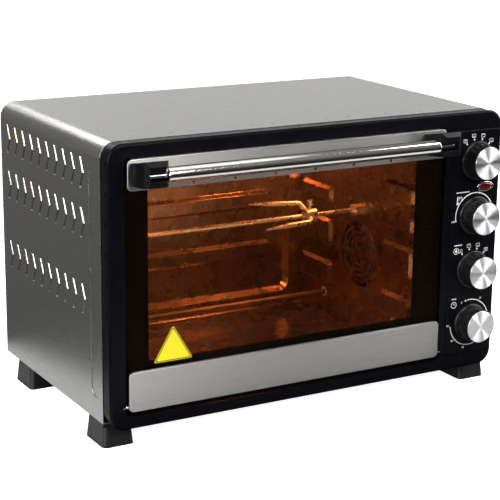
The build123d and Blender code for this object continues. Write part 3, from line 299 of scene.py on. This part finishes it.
def heater_sheath(name):
    """Oxidised rod, with patches of heat tint."""
    finish = Finish(name, (0.16, 0.12, 0.10), 0.42, metallic=0.8)
    patches = finish.noise(70, stretch=(0.5, 1, 1), detail=4.0)
    finish.vary_colour(patches, 0.30, tint=(1.2, 1.0, 0.9))
    finish.vary_roughness(patches, 0.10)
    finish.bump(finish.noise(900), 0.02 * MM)
    return finish.material


def printed_ink(name, colour, roughness=0.5, **sockets):
    """A thin flat print, with fine dots."""
    finish = Finish(name, colour, roughness, **sockets)
    dots = finish.noise(1800, detail=2.0)
    finish.vary_colour(dots, 0.05)
    finish.vary_roughness(dots, 0.05)
    return finish.material


materials = {
    "casing_steel": brushed("casing_steel", (0.45, 0.443, 0.43), 0.30, along=1),
    "galvanised_steel": spangled("galvanised_steel", (0.50, 0.51, 0.52), 0.42),
    "frame_black": enamel("frame_black", (0.0035, 0.0035, 0.0050), 0.24, Specular_IOR_Level=0.06),
    "foot_plastic": moulded("foot_plastic", (0.010, 0.010, 0.011), 0.45, 0.03 * MM,
                            Specular_IOR_Level=0.35),
    "screw_steel": turned("screw_steel", (0.60, 0.60, 0.58), 0.28),
    "gland_plastic": moulded("gland_plastic", (0.014, 0.014, 0.015), 0.5, 0.04 * MM),
    "cavity_enamel": sheet_enamel("cavity_enamel", (0.30, 0.22, 0.18), 0.28),
    "tray_steel": sheet_enamel("tray_steel", (0.30, 0.22, 0.18), 0.26),
    "heater_steel": heater_sheath("heater_steel"),
    "insulator_ceramic": ceramic_body("insulator_ceramic"),
    "lamp_glass": clear_glass("lamp_glass", (0.98, 0.92, 0.80), 0.10, 1.15),
    "lamp_bulb": glowing_bulb("lamp_bulb"),
    "bracket_steel": spangled("bracket_steel", (0.52, 0.52, 0.52), 0.38),
    "fan_aluminium": brushed("fan_aluminium", (0.62, 0.62, 0.62), 0.35, along=1),
    "shaft_steel": turned("shaft_steel", (0.62, 0.61, 0.60), 0.22),
    "switch_plastic": moulded("switch_plastic", (0.62, 0.58, 0.50), 0.5, 0.03 * MM),
    "spit_steel": turned("spit_steel", (0.92, 0.90, 0.86), 0.30),
    "knob_plastic": moulded("knob_plastic", (0.008, 0.008, 0.009), 0.22, 0.006 * MM,
                            Specular_IOR_Level=0.3),
    "cap_aluminium": spun_face("cap_aluminium"),
    "bezel_chrome": turned("bezel_chrome", (0.80, 0.80, 0.80), 0.10),
    "lens_red": red_lens("lens_red"),
    "door_glass": clear_glass("door_glass", (0.66, 0.45, 0.30), 0.005, 1.07),
    "trim_steel": brushed("trim_steel", (0.58, 0.57, 0.55), 0.36, along=0, across=2,
                          Anisotropic=0.90),
    "handle_chrome": turned("handle_chrome", (0.84, 0.83, 0.80), 0.09),
    "bracket_plastic": moulded("bracket_plastic", (0.005, 0.005, 0.006), 0.22, 0.008 * MM,
                               Specular_IOR_Level=0.16),
}
glass_black = printed_ink("glass_black", (0.0015, 0.0015, 0.0025), 0.4, Specular_IOR_Level=0.02)
panel_white = printed_ink("panel_white", (0.86, 0.86, 0.84))
label_yellow = printed_ink("label_yellow", (0.88, 0.76, 0.02), 0.4)
label_black = printed_ink("label_black", (0.012, 0.012, 0.010), 0.4)
# Near-black sheet that paints shade into the gap between the door and the frame.
gap_shade_black = moulded("gap_shade_black", (0.004, 0.004, 0.004), 0.7, 0.02 * MM,
                        Specular_IOR_Level=0.1)


def dress_nodes():
    """Each CAD node takes its record slot's material."""
    for row in frame["record"]["subparts"]:
        node = frame["nodes"][row["node"]]
        node.data.materials.clear()
        node.data.materials.append(materials[row["material_slot"]])
        node.data.shade_smooth()
        node.data.set_sharp_from_angle(angle=radians(SHARP_EDGE))


# ---------------------------------------------------------------- flat shapes that face the front
class Flat:
    """Flat faces in a plane that faces the front, drawn in X and Z and thickened at the end."""

    def __init__(self, y):
        self.mesh = bmesh.new()
        self.y = y

    def polygon(self, points):
        corners = [self.mesh.verts.new((x, self.y, z)) for x, z in points]
        self.mesh.faces.new(corners)

    def stroke(self, points, width, closed=False):
        """A line of this width through the points."""
        count = len(points)
        rails = []
        for i, (x, z) in enumerate(points):
            before = points[i - 1] if closed or i > 0 else points[i]
            after = points[(i + 1) % count] if closed or i < count - 1 else points[i]
            along = Vector((after[0] - before[0], after[1] - before[1])).normalized()
            side = Vector((-along.y, along.x)) * width / 2
            rails.append((self.mesh.verts.new((x + side.x, self.y, z + side.y)),
                          self.mesh.verts.new((x - side.x, self.y, z - side.y))))
        pairs = list(zip(rails, rails[1:])) + ([(rails[-1], rails[0])] if closed else [])
        for (a, b), (c, d) in pairs:
            self.mesh.faces.new((a, b, d, c))

    def border(self, outer, inner):
        """The area between two outlines with the same number of points."""
        rings = [[self.mesh.verts.new((x, self.y, z)) for x, z in outline]
                 for outline in (outer, inner)]
        for i in range(len(outer)):
            j = (i + 1) % len(outer)
            self.mesh.faces.new((rings[0][i], rings[0][j], rings[1][j], rings[1][i]))

    def disc(self, centre, radius, sides=20):
        self.polygon(circle(centre, radius, sides))

    def ring(self, centre, radius, width):
        self.stroke(circle(centre, radius, 28), width, closed=True)

    def text(self, words, centre, height):
        """Plain figures, centred on a point."""
        curve = bpy.data.curves.new("figures", "FONT")
        curve.body = words
        curve.size = height
        curve.align_x = "CENTER"
        curve.align_y = "CENTER"
        curve.resolution_u = 3
        holder = bpy.data.objects.new("figures", curve)
        bpy.context.scene.collection.objects.link(holder)
        bpy.context.view_layer.update()
        outline = bpy.data.meshes.new_from_object(holder.evaluated_get(
            bpy.context.evaluated_depsgraph_get()))
        outline.transform(Matrix.Translation((centre[0], self.y, centre[1]))
                          @ Matrix.Rotation(pi / 2, 4, "X"))
        self.mesh.from_mesh(outline)
        bpy.data.objects.remove(holder)

    def piece(self, name, material, body, thickness):
        """The finished piece, thickened towards the front."""
        bmesh.ops.recalc_face_normals(self.mesh, faces=self.mesh.faces[:])
        for face in self.mesh.faces:
            face.normal_update()
            if face.normal.y > 0:
                face.normal_flip()
        made = new_piece(name, self.mesh, material, body)
        thicken = made.modifiers.new("thickness", "SOLIDIFY")
        thicken.thickness = thickness
        thicken.offset = 1.0
        return made


def arc(centre, radius, start, end, steps):
    """Points along an arc, with its angles in degrees."""
    angles = [radians(start + (end - start) * i / steps) for i in range(steps + 1)]
    return [(centre[0] + radius * cos(a), centre[1] + radius * sin(a)) for a in angles]


def circle(centre, radius, sides):
    """A closed outline, counterclockwise."""
    return arc(centre, radius, 0, 360, sides)[:-1]


def box_corners(left, bottom, right, top):
    return [(left, bottom), (right, bottom), (right, top), (left, top)]


def rounded_outline(corners, radius, steps=6):
    """A closed convex outline, counterclockwise, with each corner rounded to this radius."""
    points = []
    count = len(corners)
    for i, corner in enumerate(corners):
        here = Vector(corner)
        to_last = (Vector(corners[i - 1]) - here).normalized()
        to_next = (Vector(corners[(i + 1) % count]) - here).normalized()
        half = acos(to_last.dot(to_next)) / 2
        centre = here + (to_last + to_next).normalized() * radius / sin(half)
        outwards = here - centre
        middle = atan2(outwards.y, outwards.x)
        sweep = pi / 2 - half
        for k in range(steps + 1):
            angle = middle + sweep * (2 * k / steps - 1)
            points.append((centre.x + radius * cos(angle), centre.y + radius * sin(angle)))
    return points


def mesh_object(name, mesh, material):
    """An object in the scene from a bmesh, which is freed."""
    data = bpy.data.meshes.new(name)
    mesh.to_mesh(data)
    mesh.free()
    made = bpy.data.objects.new(name, data)
    bpy.context.scene.collection.objects.link(made)
    data.materials.append(material)
    return made


def new_piece(name, mesh, material, body):
    """An object from a bmesh, riding on its body."""
    made = mesh_object(name, mesh, material)
    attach(made, body)
    return made


# ---------------------------------------------------------------- door print, painted-shade sheet and label
PRINT_LEFT = 28.5 * MM      # black borders of the glass
PRINT_RIGHT = 39.0 * MM
PRINT_BOTTOM = 9.0 * MM     # above the bottom trim
PRINT_TOP = 4.0 * MM        # above the top trim's lower edge, which hides it
PRINT_THICKNESS = 0.15 * MM
PRINT_CORNER = 2.0 * MM
TRIM_LAP_BOTTOM = 28.4 * MM
TRIM_LAP_TOP = 20.4 * MM

# Sizes of the near-black sheet of painted shade behind the door gap.
SHADE_SHEET_GAP = 4.5 * MM       # behind the glass
SHADE_SHEET_THICKNESS = 1.0 * MM
SHADE_SHEET_TOP = 16.0 * MM      # below the frame's top
SHADE_SHEET_PANEL_GAP = 2.0 * MM
SHADE_SHEET_LEFT = 7.0 * MM      # outside the cavity, as the next one
SHADE_SHEET_BOTTOM = 0.5 * MM
SHADE_SHEET_LIP_LEFT = 3.0 * MM      # inside the cavity, as the next two
SHADE_SHEET_LIP_BOTTOM = 4.0 * MM
SHADE_SHEET_LIP_TOP = 16.0 * MM
SHADE_SHEET_LIP_RIGHT = 2.0 * MM     # outside the cavity
SHADE_SHEET_CORNER = 4.0 * MM
SHADE_SHEET_LIP_CORNER = 6.0 * MM

LABEL_WIDTH = 51.0 * MM
LABEL_HEIGHT = 43.0 * MM
LABEL_FROM_LEFT = 33.0 * MM
LABEL_ABOVE_TRIM = 6.0 * MM
LABEL_CORNER = 1.6 * MM
LABEL_THICKNESS = 0.1 * MM
LABEL_SHEETS = (            # name, share of the full size, material, distance from the glass
    ("label_base", 1.0, label_yellow, 0.05 * MM),
    ("label_outline", 0.95, label_black, 0.17 * MM),
    ("label_field", 0.88, label_yellow, 0.29 * MM))


def make_glass_print():
    """The black borders, fired on the back of the glass round a clear window."""
    bottom = bottom_trim_low.z + TRIM_LAP_BOTTOM
    top = top_trim_high.z - TRIM_LAP_TOP
    outer = box_corners(glass_low.x, bottom, glass_high.x, top)
    inner = box_corners(glass_low.x + PRINT_LEFT, bottom_trim_high.z + PRINT_BOTTOM,
                        glass_high.x - PRINT_RIGHT, top_trim_low.z + PRINT_TOP)
    print_sheet = Flat(glass_high.y + PRINT_THICKNESS)
    print_sheet.border(rounded_outline(outer, PRINT_CORNER), rounded_outline(inner, PRINT_CORNER))
    print_sheet.piece("glass_print", glass_black, "door", PRINT_THICKNESS * 0.9)


def make_gap_shade():
    """A dark sheet round the cavity's mouth, behind the gap between the door and the frame: painted
    shade that keeps the gap black.
    """
    outer = box_corners(cavity_low.x - SHADE_SHEET_LEFT, cavity_low.z - SHADE_SHEET_BOTTOM,
                        panel_low.x - SHADE_SHEET_PANEL_GAP, frame_high.z - SHADE_SHEET_TOP)
    inner = box_corners(cavity_low.x + SHADE_SHEET_LIP_LEFT, cavity_low.z + SHADE_SHEET_LIP_BOTTOM,
                        cavity_high.x + SHADE_SHEET_LIP_RIGHT, cavity_high.z - SHADE_SHEET_LIP_TOP)
    # The sheet is painted shade, set where the door gap shows only shade.
    shade_sheet = Flat(glass_high.y + SHADE_SHEET_GAP)
    shade_sheet.border(rounded_outline(outer, SHADE_SHEET_CORNER), rounded_outline(inner, SHADE_SHEET_LIP_CORNER))
    shade_sheet.piece("door_gap_shade", gap_shade_black, "oven", SHADE_SHEET_THICKNESS)


def make_hot_surface_label():
    """A plain yellow triangle with a dark outline, low on the left of the glass."""
    left = glass_low.x + LABEL_FROM_LEFT
    bottom = bottom_trim_high.z + LABEL_ABOVE_TRIM
    corners = [(left, bottom), (left + LABEL_WIDTH, bottom),
               (left + LABEL_WIDTH / 2, bottom + LABEL_HEIGHT)]
    centre = (left + LABEL_WIDTH / 2, bottom + LABEL_HEIGHT / 3)

    def scaled(share):
        return [(centre[0] + (x - centre[0]) * share, centre[1] + (z - centre[1]) * share)
                for x, z in corners]

    for name, share, material, lift in LABEL_SHEETS:
        sheet = Flat(glass_low.y - lift)
        sheet.polygon(rounded_outline(scaled(share), LABEL_CORNER * share))
        sheet.piece(name, material, "door", LABEL_THICKNESS)


# ---------------------------------------------------------------- panel print
INK = 0.06 * MM
INK_GAP = 0.01 * MM
SYMBOL_INSET = 8.5 * MM         # from the panel's left edge
DASH = 1.9 * MM                 # a caption is a row of these
DASH_PITCH = DASH * 1.35
DASH_HEIGHT = 1.3 * MM
CAPTIONS = (                    # knob, height above its middle and length
    ("temperature", 31.5 * MM, 22.0 * MM),
    ("function", 34.0 * MM, 15.0 * MM),
    ("timer", 34.0 * MM, 9.0 * MM))
CHOICES = (127, 101, 75, 48)    # angles of a selector's settings
CHOICE_DOTS = 27.3 * MM         # radii round a knob's middle, as the next six
CHOICE_SYMBOLS = 32.3 * MM
HEAT_BAND = 29.5 * MM
HEAT_FIGURES = 33.8 * MM
TIMER_BAND = 30.5 * MM
TIMER_FIGURES = 34.6 * MM
TIMER_ZERO = 31.0 * MM
THICK_BAND = 1.1 * MM
THIN_BAND = 0.7 * MM
DOT = 1.2 * MM


def make_panel_print():
    """Dial marks, small symbols and dashes where the words would be, on the control panel."""
    ink = Flat(panel_low.y - INK_GAP)
    knobs = {name: middle_of(name + "_knob_cap") for name in
             ("mode", "temperature", "function", "timer")}
    for name in ("mode", "function"):
        choice_marks(ink, (knobs[name].x, knobs[name].z), name)
    temperature_scale(ink, (knobs["temperature"].x, knobs["temperature"].z))
    timer_scale(ink, (knobs["timer"].x, knobs["timer"].z))
    symbol_x = panel_low.x + SYMBOL_INSET
    for name, rise, length in CAPTIONS:
        word_bar(ink, symbol_x - 2.0 * MM, knobs[name].z + rise, length)
    thermometer(ink, (symbol_x, knobs["temperature"].z + 22 * MM))
    flame_in_ring(ink, (symbol_x + 1.5 * MM, knobs["function"].z + 26.5 * MM))
    clock(ink, (symbol_x + 1.5 * MM, knobs["timer"].z + 26 * MM))
    ink.piece("panel_print", panel_white, "oven", INK)


def around(centre, radius, degrees):
    """The point on a circle at this angle."""
    return (centre[0] + radius * cos(radians(degrees)),
            centre[1] + radius * sin(radians(degrees)))


def choice_marks(ink, centre, name):
    """Four dots round a selector, each with a small box symbol outside it."""
    first = 1 if name == "function" else 0
    for kind, degrees in enumerate(CHOICES, first):
        ink.disc(around(centre, CHOICE_DOTS, degrees), 1.1 * MM)
        box_symbol(ink, around(centre, CHOICE_SYMBOLS, degrees), kind)


def box_symbol(ink, centre, kind):
    """A small oven outline with heating bars at its top, bottom or both."""
    x, z = centre
    half_w, half_h = 2.7 * MM, 2.1 * MM
    outline = box_corners(x - half_w, z - half_h, x + half_w, z + half_h)
    ink.stroke(rounded_outline(outline, 0.5 * MM, 2), 0.45 * MM, closed=True)
    if kind % 2 == 0:
        ink.stroke([(x - 1.6 * MM, z + 1.0 * MM), (x + 1.6 * MM, z + 1.0 * MM)], 0.5 * MM)
    if kind % 3 == 0:
        ink.stroke([(x - 1.6 * MM, z - 1.0 * MM), (x + 1.6 * MM, z - 1.0 * MM)], 0.5 * MM)
    if kind % 3 == 1:
        ink.disc((x, z - 0.5 * MM), 0.7 * MM, 10)


def temperature_scale(ink, centre):
    ink.stroke(arc(centre, HEAT_BAND, 190, -39, 48), THICK_BAND)
    for degrees, figure in ((190, "100"), (133, "150"), (76, "200"), (18, "250")):
        ink.disc(around(centre, HEAT_BAND, degrees), DOT, 12)
        place = around(centre, HEAT_FIGURES, degrees)
        if place[0] < panel_high.x - 4 * MM:
            ink.text(figure, place, 4.0 * MM)


def timer_scale(ink, centre):
    ink.stroke(arc(centre, TIMER_BAND, 100, 20, 20), THICK_BAND)
    ink.stroke(arc(centre, TIMER_BAND, 20, -110, 34), THIN_BAND)
    ink.stroke(arc(centre, TIMER_BAND, -110, -176, 18), THICK_BAND)
    ink.disc(around(centre, TIMER_BAND, 104), DOT, 12)
    for degrees, figure in ((62, "15"), (-104, "45"), (-140, "60"), (-178, "90")):
        ink.text(figure, around(centre, TIMER_FIGURES, degrees), 3.8 * MM)
    ink.text("0", around(centre, TIMER_ZERO, 116), 3.8 * MM)


def word_bar(ink, x, z, length):
    """A row of short dashes that stands for a caption."""
    for i in range(int(length / DASH_PITCH)):
        start = x + i * DASH_PITCH
        ink.stroke([(start, z), (start + DASH, z)], DASH_HEIGHT)


def thermometer(ink, centre):
    x, z = centre
    ink.stroke([(x, z - 4 * MM), (x, z + 4.5 * MM)], 1.5 * MM)
    ink.disc((x, z - 4.6 * MM), 1.7 * MM, 16)
    for rise in (0.5, 2.2, 3.9):
        ink.stroke([(x + 1.6 * MM, z + rise * MM), (x + 3.0 * MM, z + rise * MM)], 0.6 * MM)


def flame_in_ring(ink, centre):
    ink.ring(centre, 3.9 * MM, 0.7 * MM)
    x, z = centre
    right = [(x + 1.7 * MM * sin(pi * t / 6) ** 0.8, z + (-2.0 + 4.6 * (t / 6) ** 1.4) * MM)
             for t in range(1, 6)]
    left = [(2 * x - px, pz) for px, pz in reversed(right)]
    ink.polygon([(x, z - 2.2 * MM)] + right + [(x, z + 2.8 * MM)] + left)


def clock(ink, centre):
    ink.ring(centre, 3.9 * MM, 0.7 * MM)
    x, z = centre
    ink.stroke([(x, z + 2.4 * MM), (x, z)], 0.6 * MM)
    ink.stroke([(x, z), (x + 1.5 * MM, z + 1.0 * MM)], 0.6 * MM)


# ---------------------------------------------------------------- louvre blades of the casing
CHEVRON_COUNT = 10
CHEVRON_PITCH = 25.6 * MM
CHEVRON_START = 66.0 * MM       # the first slot's tip, from the frame's front
CHEVRON_ROWS = (143.0 * MM, 235.0 * MM, 294.5 * MM)
CHEVRON_HALF = 18.0 * MM
CHEVRON_BACK = 8.5 * MM
CHEVRON_SLOT = 4.0 * MM
SHEET = 1.0 * MM
BLADE = 0.5 * MM
BLADE_START = 0.7 * SHEET       # inside the casing's face
BLADE_REACH = 3.6 * MM
BLADE_LAP_REAR = 0.1 * MM       # past the slot's edges
BLADE_LAP_FRONT = 0.3 * MM


def make_louvres():
    """Behind each chevron slot a blade slopes inwards from the slot's rear edge to its front edge."""
    for side, name in ((-1, "louvres_left"), (1, "louvres_right")):
        mesh = bmesh.new()
        for row in CHEVRON_ROWS:
            for i in range(CHEVRON_COUNT):
                tip_y = frame_low.y + CHEVRON_START + i * CHEVRON_PITCH
                for way in (1, -1):
                    corners = blade_corners(side, row, tip_y, way)
                    mesh.faces.new([mesh.verts.new(c) for c in corners])
        blades = new_piece(name, mesh, materials["casing_steel"], "oven")
        thicken = blades.modifiers.new("thickness", "SOLIDIFY")
        thicken.thickness = BLADE
        thicken.offset = 0


def blade_corners(side, row, tip_y, way):
    """One arm of a chevron's blade, going up or down from the tip."""
    start_x = casing_high.x * side - side * BLADE_START
    end_x = start_x - side * BLADE_REACH
    far = row + way * CHEVRON_HALF + frame_low.z
    near = row + frame_low.z
    rear = CHEVRON_SLOT + BLADE_LAP_REAR
    return [(start_x, tip_y + rear, near),
            (start_x, tip_y + CHEVRON_BACK + rear, far),
            (end_x, tip_y + CHEVRON_BACK - BLADE_LAP_FRONT, far),
            (end_x, tip_y - BLADE_LAP_FRONT, near)]


# ---------------------------------------------------------------- stage, light and camera
FLOOR_RADIUS = 6.0
FLOOR_GLOW = 0.95
CARD_GLOW = 0.85
CARD_LIFT = 0.2 * MM
CARD = ((-0.323, 0.29), (-0.28, 0.29), (-0.28, -0.27), (0.95, -0.27), (0.90, -0.55),
        (-0.46, -0.55), (-0.43, -0.17))     # X and Y, counterclockwise seen from below
SKY = 0.20
SKY_RISE = (0, 0.35, 1)         # the sky brightens in this direction
SKY_STOPS = ((0.0, 0.0), (0.30, 0.14), (0.47, 0.50), (0.62, 1.0))   # share of the way, brightness
OVEN_GLOW = (1.0, 0.40, 0.12)


def stage_sheet(name, points, height, paint):
    """A flat sheet on the ground, which is part of the stage."""
    mesh = bmesh.new()
    mesh.faces.new([mesh.verts.new((x, y, height)) for x, y in points])
    sheet = mesh_object(name, mesh, paint.material)
    return sheet


def make_floor():
    """A wide white floor for the eye, and a smaller card that only the glossy pieces mirror."""
    paint = Finish("floor_paint", (0.8, 0.8, 0.8), 0.8, Specular_IOR_Level=0.0,
                   Emission_Strength=FLOOR_GLOW)
    paint.shader.inputs["Emission Color"].default_value = (1, 1, 1, 1)
    paint.vary_roughness(paint.noise(3), 0.05)
    floor = stage_sheet("floor", circle((0, 0), FLOOR_RADIUS, 96), 0.0, paint)
    floor.visible_glossy = False
    floor.visible_diffuse = False
    paper = Finish("card_paint", (0.0, 0.0, 0.0), 0.8, Specular_IOR_Level=0.0,
                   Emission_Strength=CARD_GLOW)
    paper.shader.inputs["Emission Color"].default_value = (1, 1, 1, 1)
    card = stage_sheet("mirror_card", CARD, CARD_LIFT, paper)
    card.visible_camera = False
    card.visible_diffuse = False
    card.visible_shadow = False
    card.visible_transmission = False


def area_lamp(name, place, target, size, power):
    """A rectangular lamp that the camera doesn't see, aimed at a point."""
    lamp = bpy.data.lights.new(name, "AREA")
    lamp.shape = "RECTANGLE"
    lamp.size, lamp.size_y = size
    lamp.energy = power
    holder = bpy.data.objects.new(name, lamp)
    holder.location = place
    holder.rotation_mode = "QUATERNION"
    holder.rotation_quaternion = (Vector(target) - Vector(place)).to_track_quat("-Z", "Y")
    holder.visible_camera = False
    bpy.context.scene.collection.objects.link(holder)
    return holder


def softbox(name, place, size, radiance):
    """A large soft studio light of this brightness, aimed at the object."""
    area_lamp(name, place, object_middle, size, radiance * pi * size[0] * size[1])


def make_lights():
    softbox("overhead", (0.0, -0.1, 2.4), (2.4, 2.0), 1.0)
    softbox("rear_low", (1.0, 2.2, 0.9), (3.6, 1.2), 0.6)
    softbox("rear_high", (-0.35, 2.0, 1.75), (1.2, 0.5), 6.5)
    softbox("left_side", (-2.3, -0.75, 1.1), (1.0, 2.0), 14.0)
    softbox("right_side", (2.0, -0.9, 1.2), (0.8, 2.2), 10.0)
    softbox("front_high", (0.2, -1.7, 1.3), (0.9, 0.9), 10.0)


def place_in_cavity(shares):
    """A point in the oven cavity, by its share of the width, depth and height."""
    size = cavity_high - cavity_low
    return [low + share * extent for low, share, extent in zip(cavity_low, shares, size)]


def make_oven_light():
    """The warm light inside: a small bright lamp high on the right, and a soft fill on the left."""
    for name, place, aim, size, power in (
            ("oven_key", (0.92, 0.53, 0.93), (0.35, 1.0, 0.30), (0.06, 0.05), 0.90),
            ("oven_fill", (0.15, 0.45, 0.97), (0.10, 1.0, 0.25), (0.12, 0.08), 3.0)):
        holder = area_lamp(name, place_in_cavity(place), place_in_cavity(aim), size, power)
        holder.data.color = OVEN_GLOW
        holder.visible_transmission = False


def make_world():
    """A white backdrop for the eye; what the metal mirrors is dark low in front, pale behind."""
    world = bpy.data.worlds.new("studio")
    bpy.context.scene.world = world
    world.use_nodes = True
    nodes, links = world.node_tree.nodes, world.node_tree.links
    nodes.clear()
    output = nodes.new("ShaderNodeOutputWorld")
    backdrop = nodes.new("ShaderNodeBackground")
    backdrop.inputs["Color"].default_value = (1, 1, 1, 1)
    studio = nodes.new("ShaderNodeBackground")
    studio.inputs["Strength"].default_value = SKY
    direction = nodes.new("ShaderNodeTexCoord")
    rise = nodes.new("ShaderNodeVectorMath")
    rise.operation = "DOT_PRODUCT"
    rise.inputs[1].default_value = Vector(SKY_RISE).normalized()
    ramp = nodes.new("ShaderNodeValToRGB")
    for share, level in SKY_STOPS:
        stop = ramp.color_ramp.elements.new(share) if 0 < share else ramp.color_ramp.elements[0]
        stop.color = (level, level * 0.99, level * 0.97, 1)
    ramp.color_ramp.elements[-1].color = (1.0, 0.99, 0.96, 1)
    height = nodes.new("ShaderNodeMapRange")
    height.inputs["From Min"].default_value = -1.0
    path = nodes.new("ShaderNodeLightPath")
    mix = nodes.new("ShaderNodeMixShader")
    links.new(direction.outputs["Generated"], rise.inputs[0])
    links.new(rise.outputs["Value"], height.inputs["Value"])
    links.new(height.outputs["Result"], ramp.inputs["Fac"])
    links.new(ramp.outputs["Color"], studio.inputs["Color"])
    links.new(path.outputs["Is Camera Ray"], mix.inputs["Fac"])
    links.new(studio.outputs["Background"], mix.inputs[1])
    links.new(backdrop.outputs["Background"], mix.inputs[2])
    links.new(mix.outputs["Shader"], output.inputs["Surface"])


CAMERA_PLACE = (-0.96227, -1.67106, 0.68277)
CAMERA_TURN = 29.73             # to the right of straight ahead
CAMERA_TILT = -14.74
CAMERA_ROLL = 0.642
CAMERA_LENS = 110.76            # mm, on a sensor 36 mm wide


def make_camera():
    """The usual three-quarter view, from the front left and a little above."""
    lens = bpy.data.cameras.new("camera")
    lens.lens = CAMERA_LENS
    lens.sensor_width = 36.0
    camera = bpy.data.objects.new("camera", lens)
    camera.matrix_world = (Matrix.Translation(CAMERA_PLACE)
                           @ Matrix.Rotation(-radians(CAMERA_TURN), 4, "Z")
                           @ Matrix.Rotation(pi / 2 + radians(CAMERA_TILT), 4, "X")
                           @ Matrix.Rotation(radians(CAMERA_ROLL), 4, "Z"))
    bpy.context.scene.collection.objects.link(camera)
    bpy.context.scene.camera = camera


bpy.context.scene.view_settings.view_transform = "Standard"
make_camera()
make_world()
make_floor()
make_lights()
make_oven_light()
dress_nodes()
make_glass_print()
make_gap_shade()
make_hot_surface_label()
make_panel_print()
make_louvres()
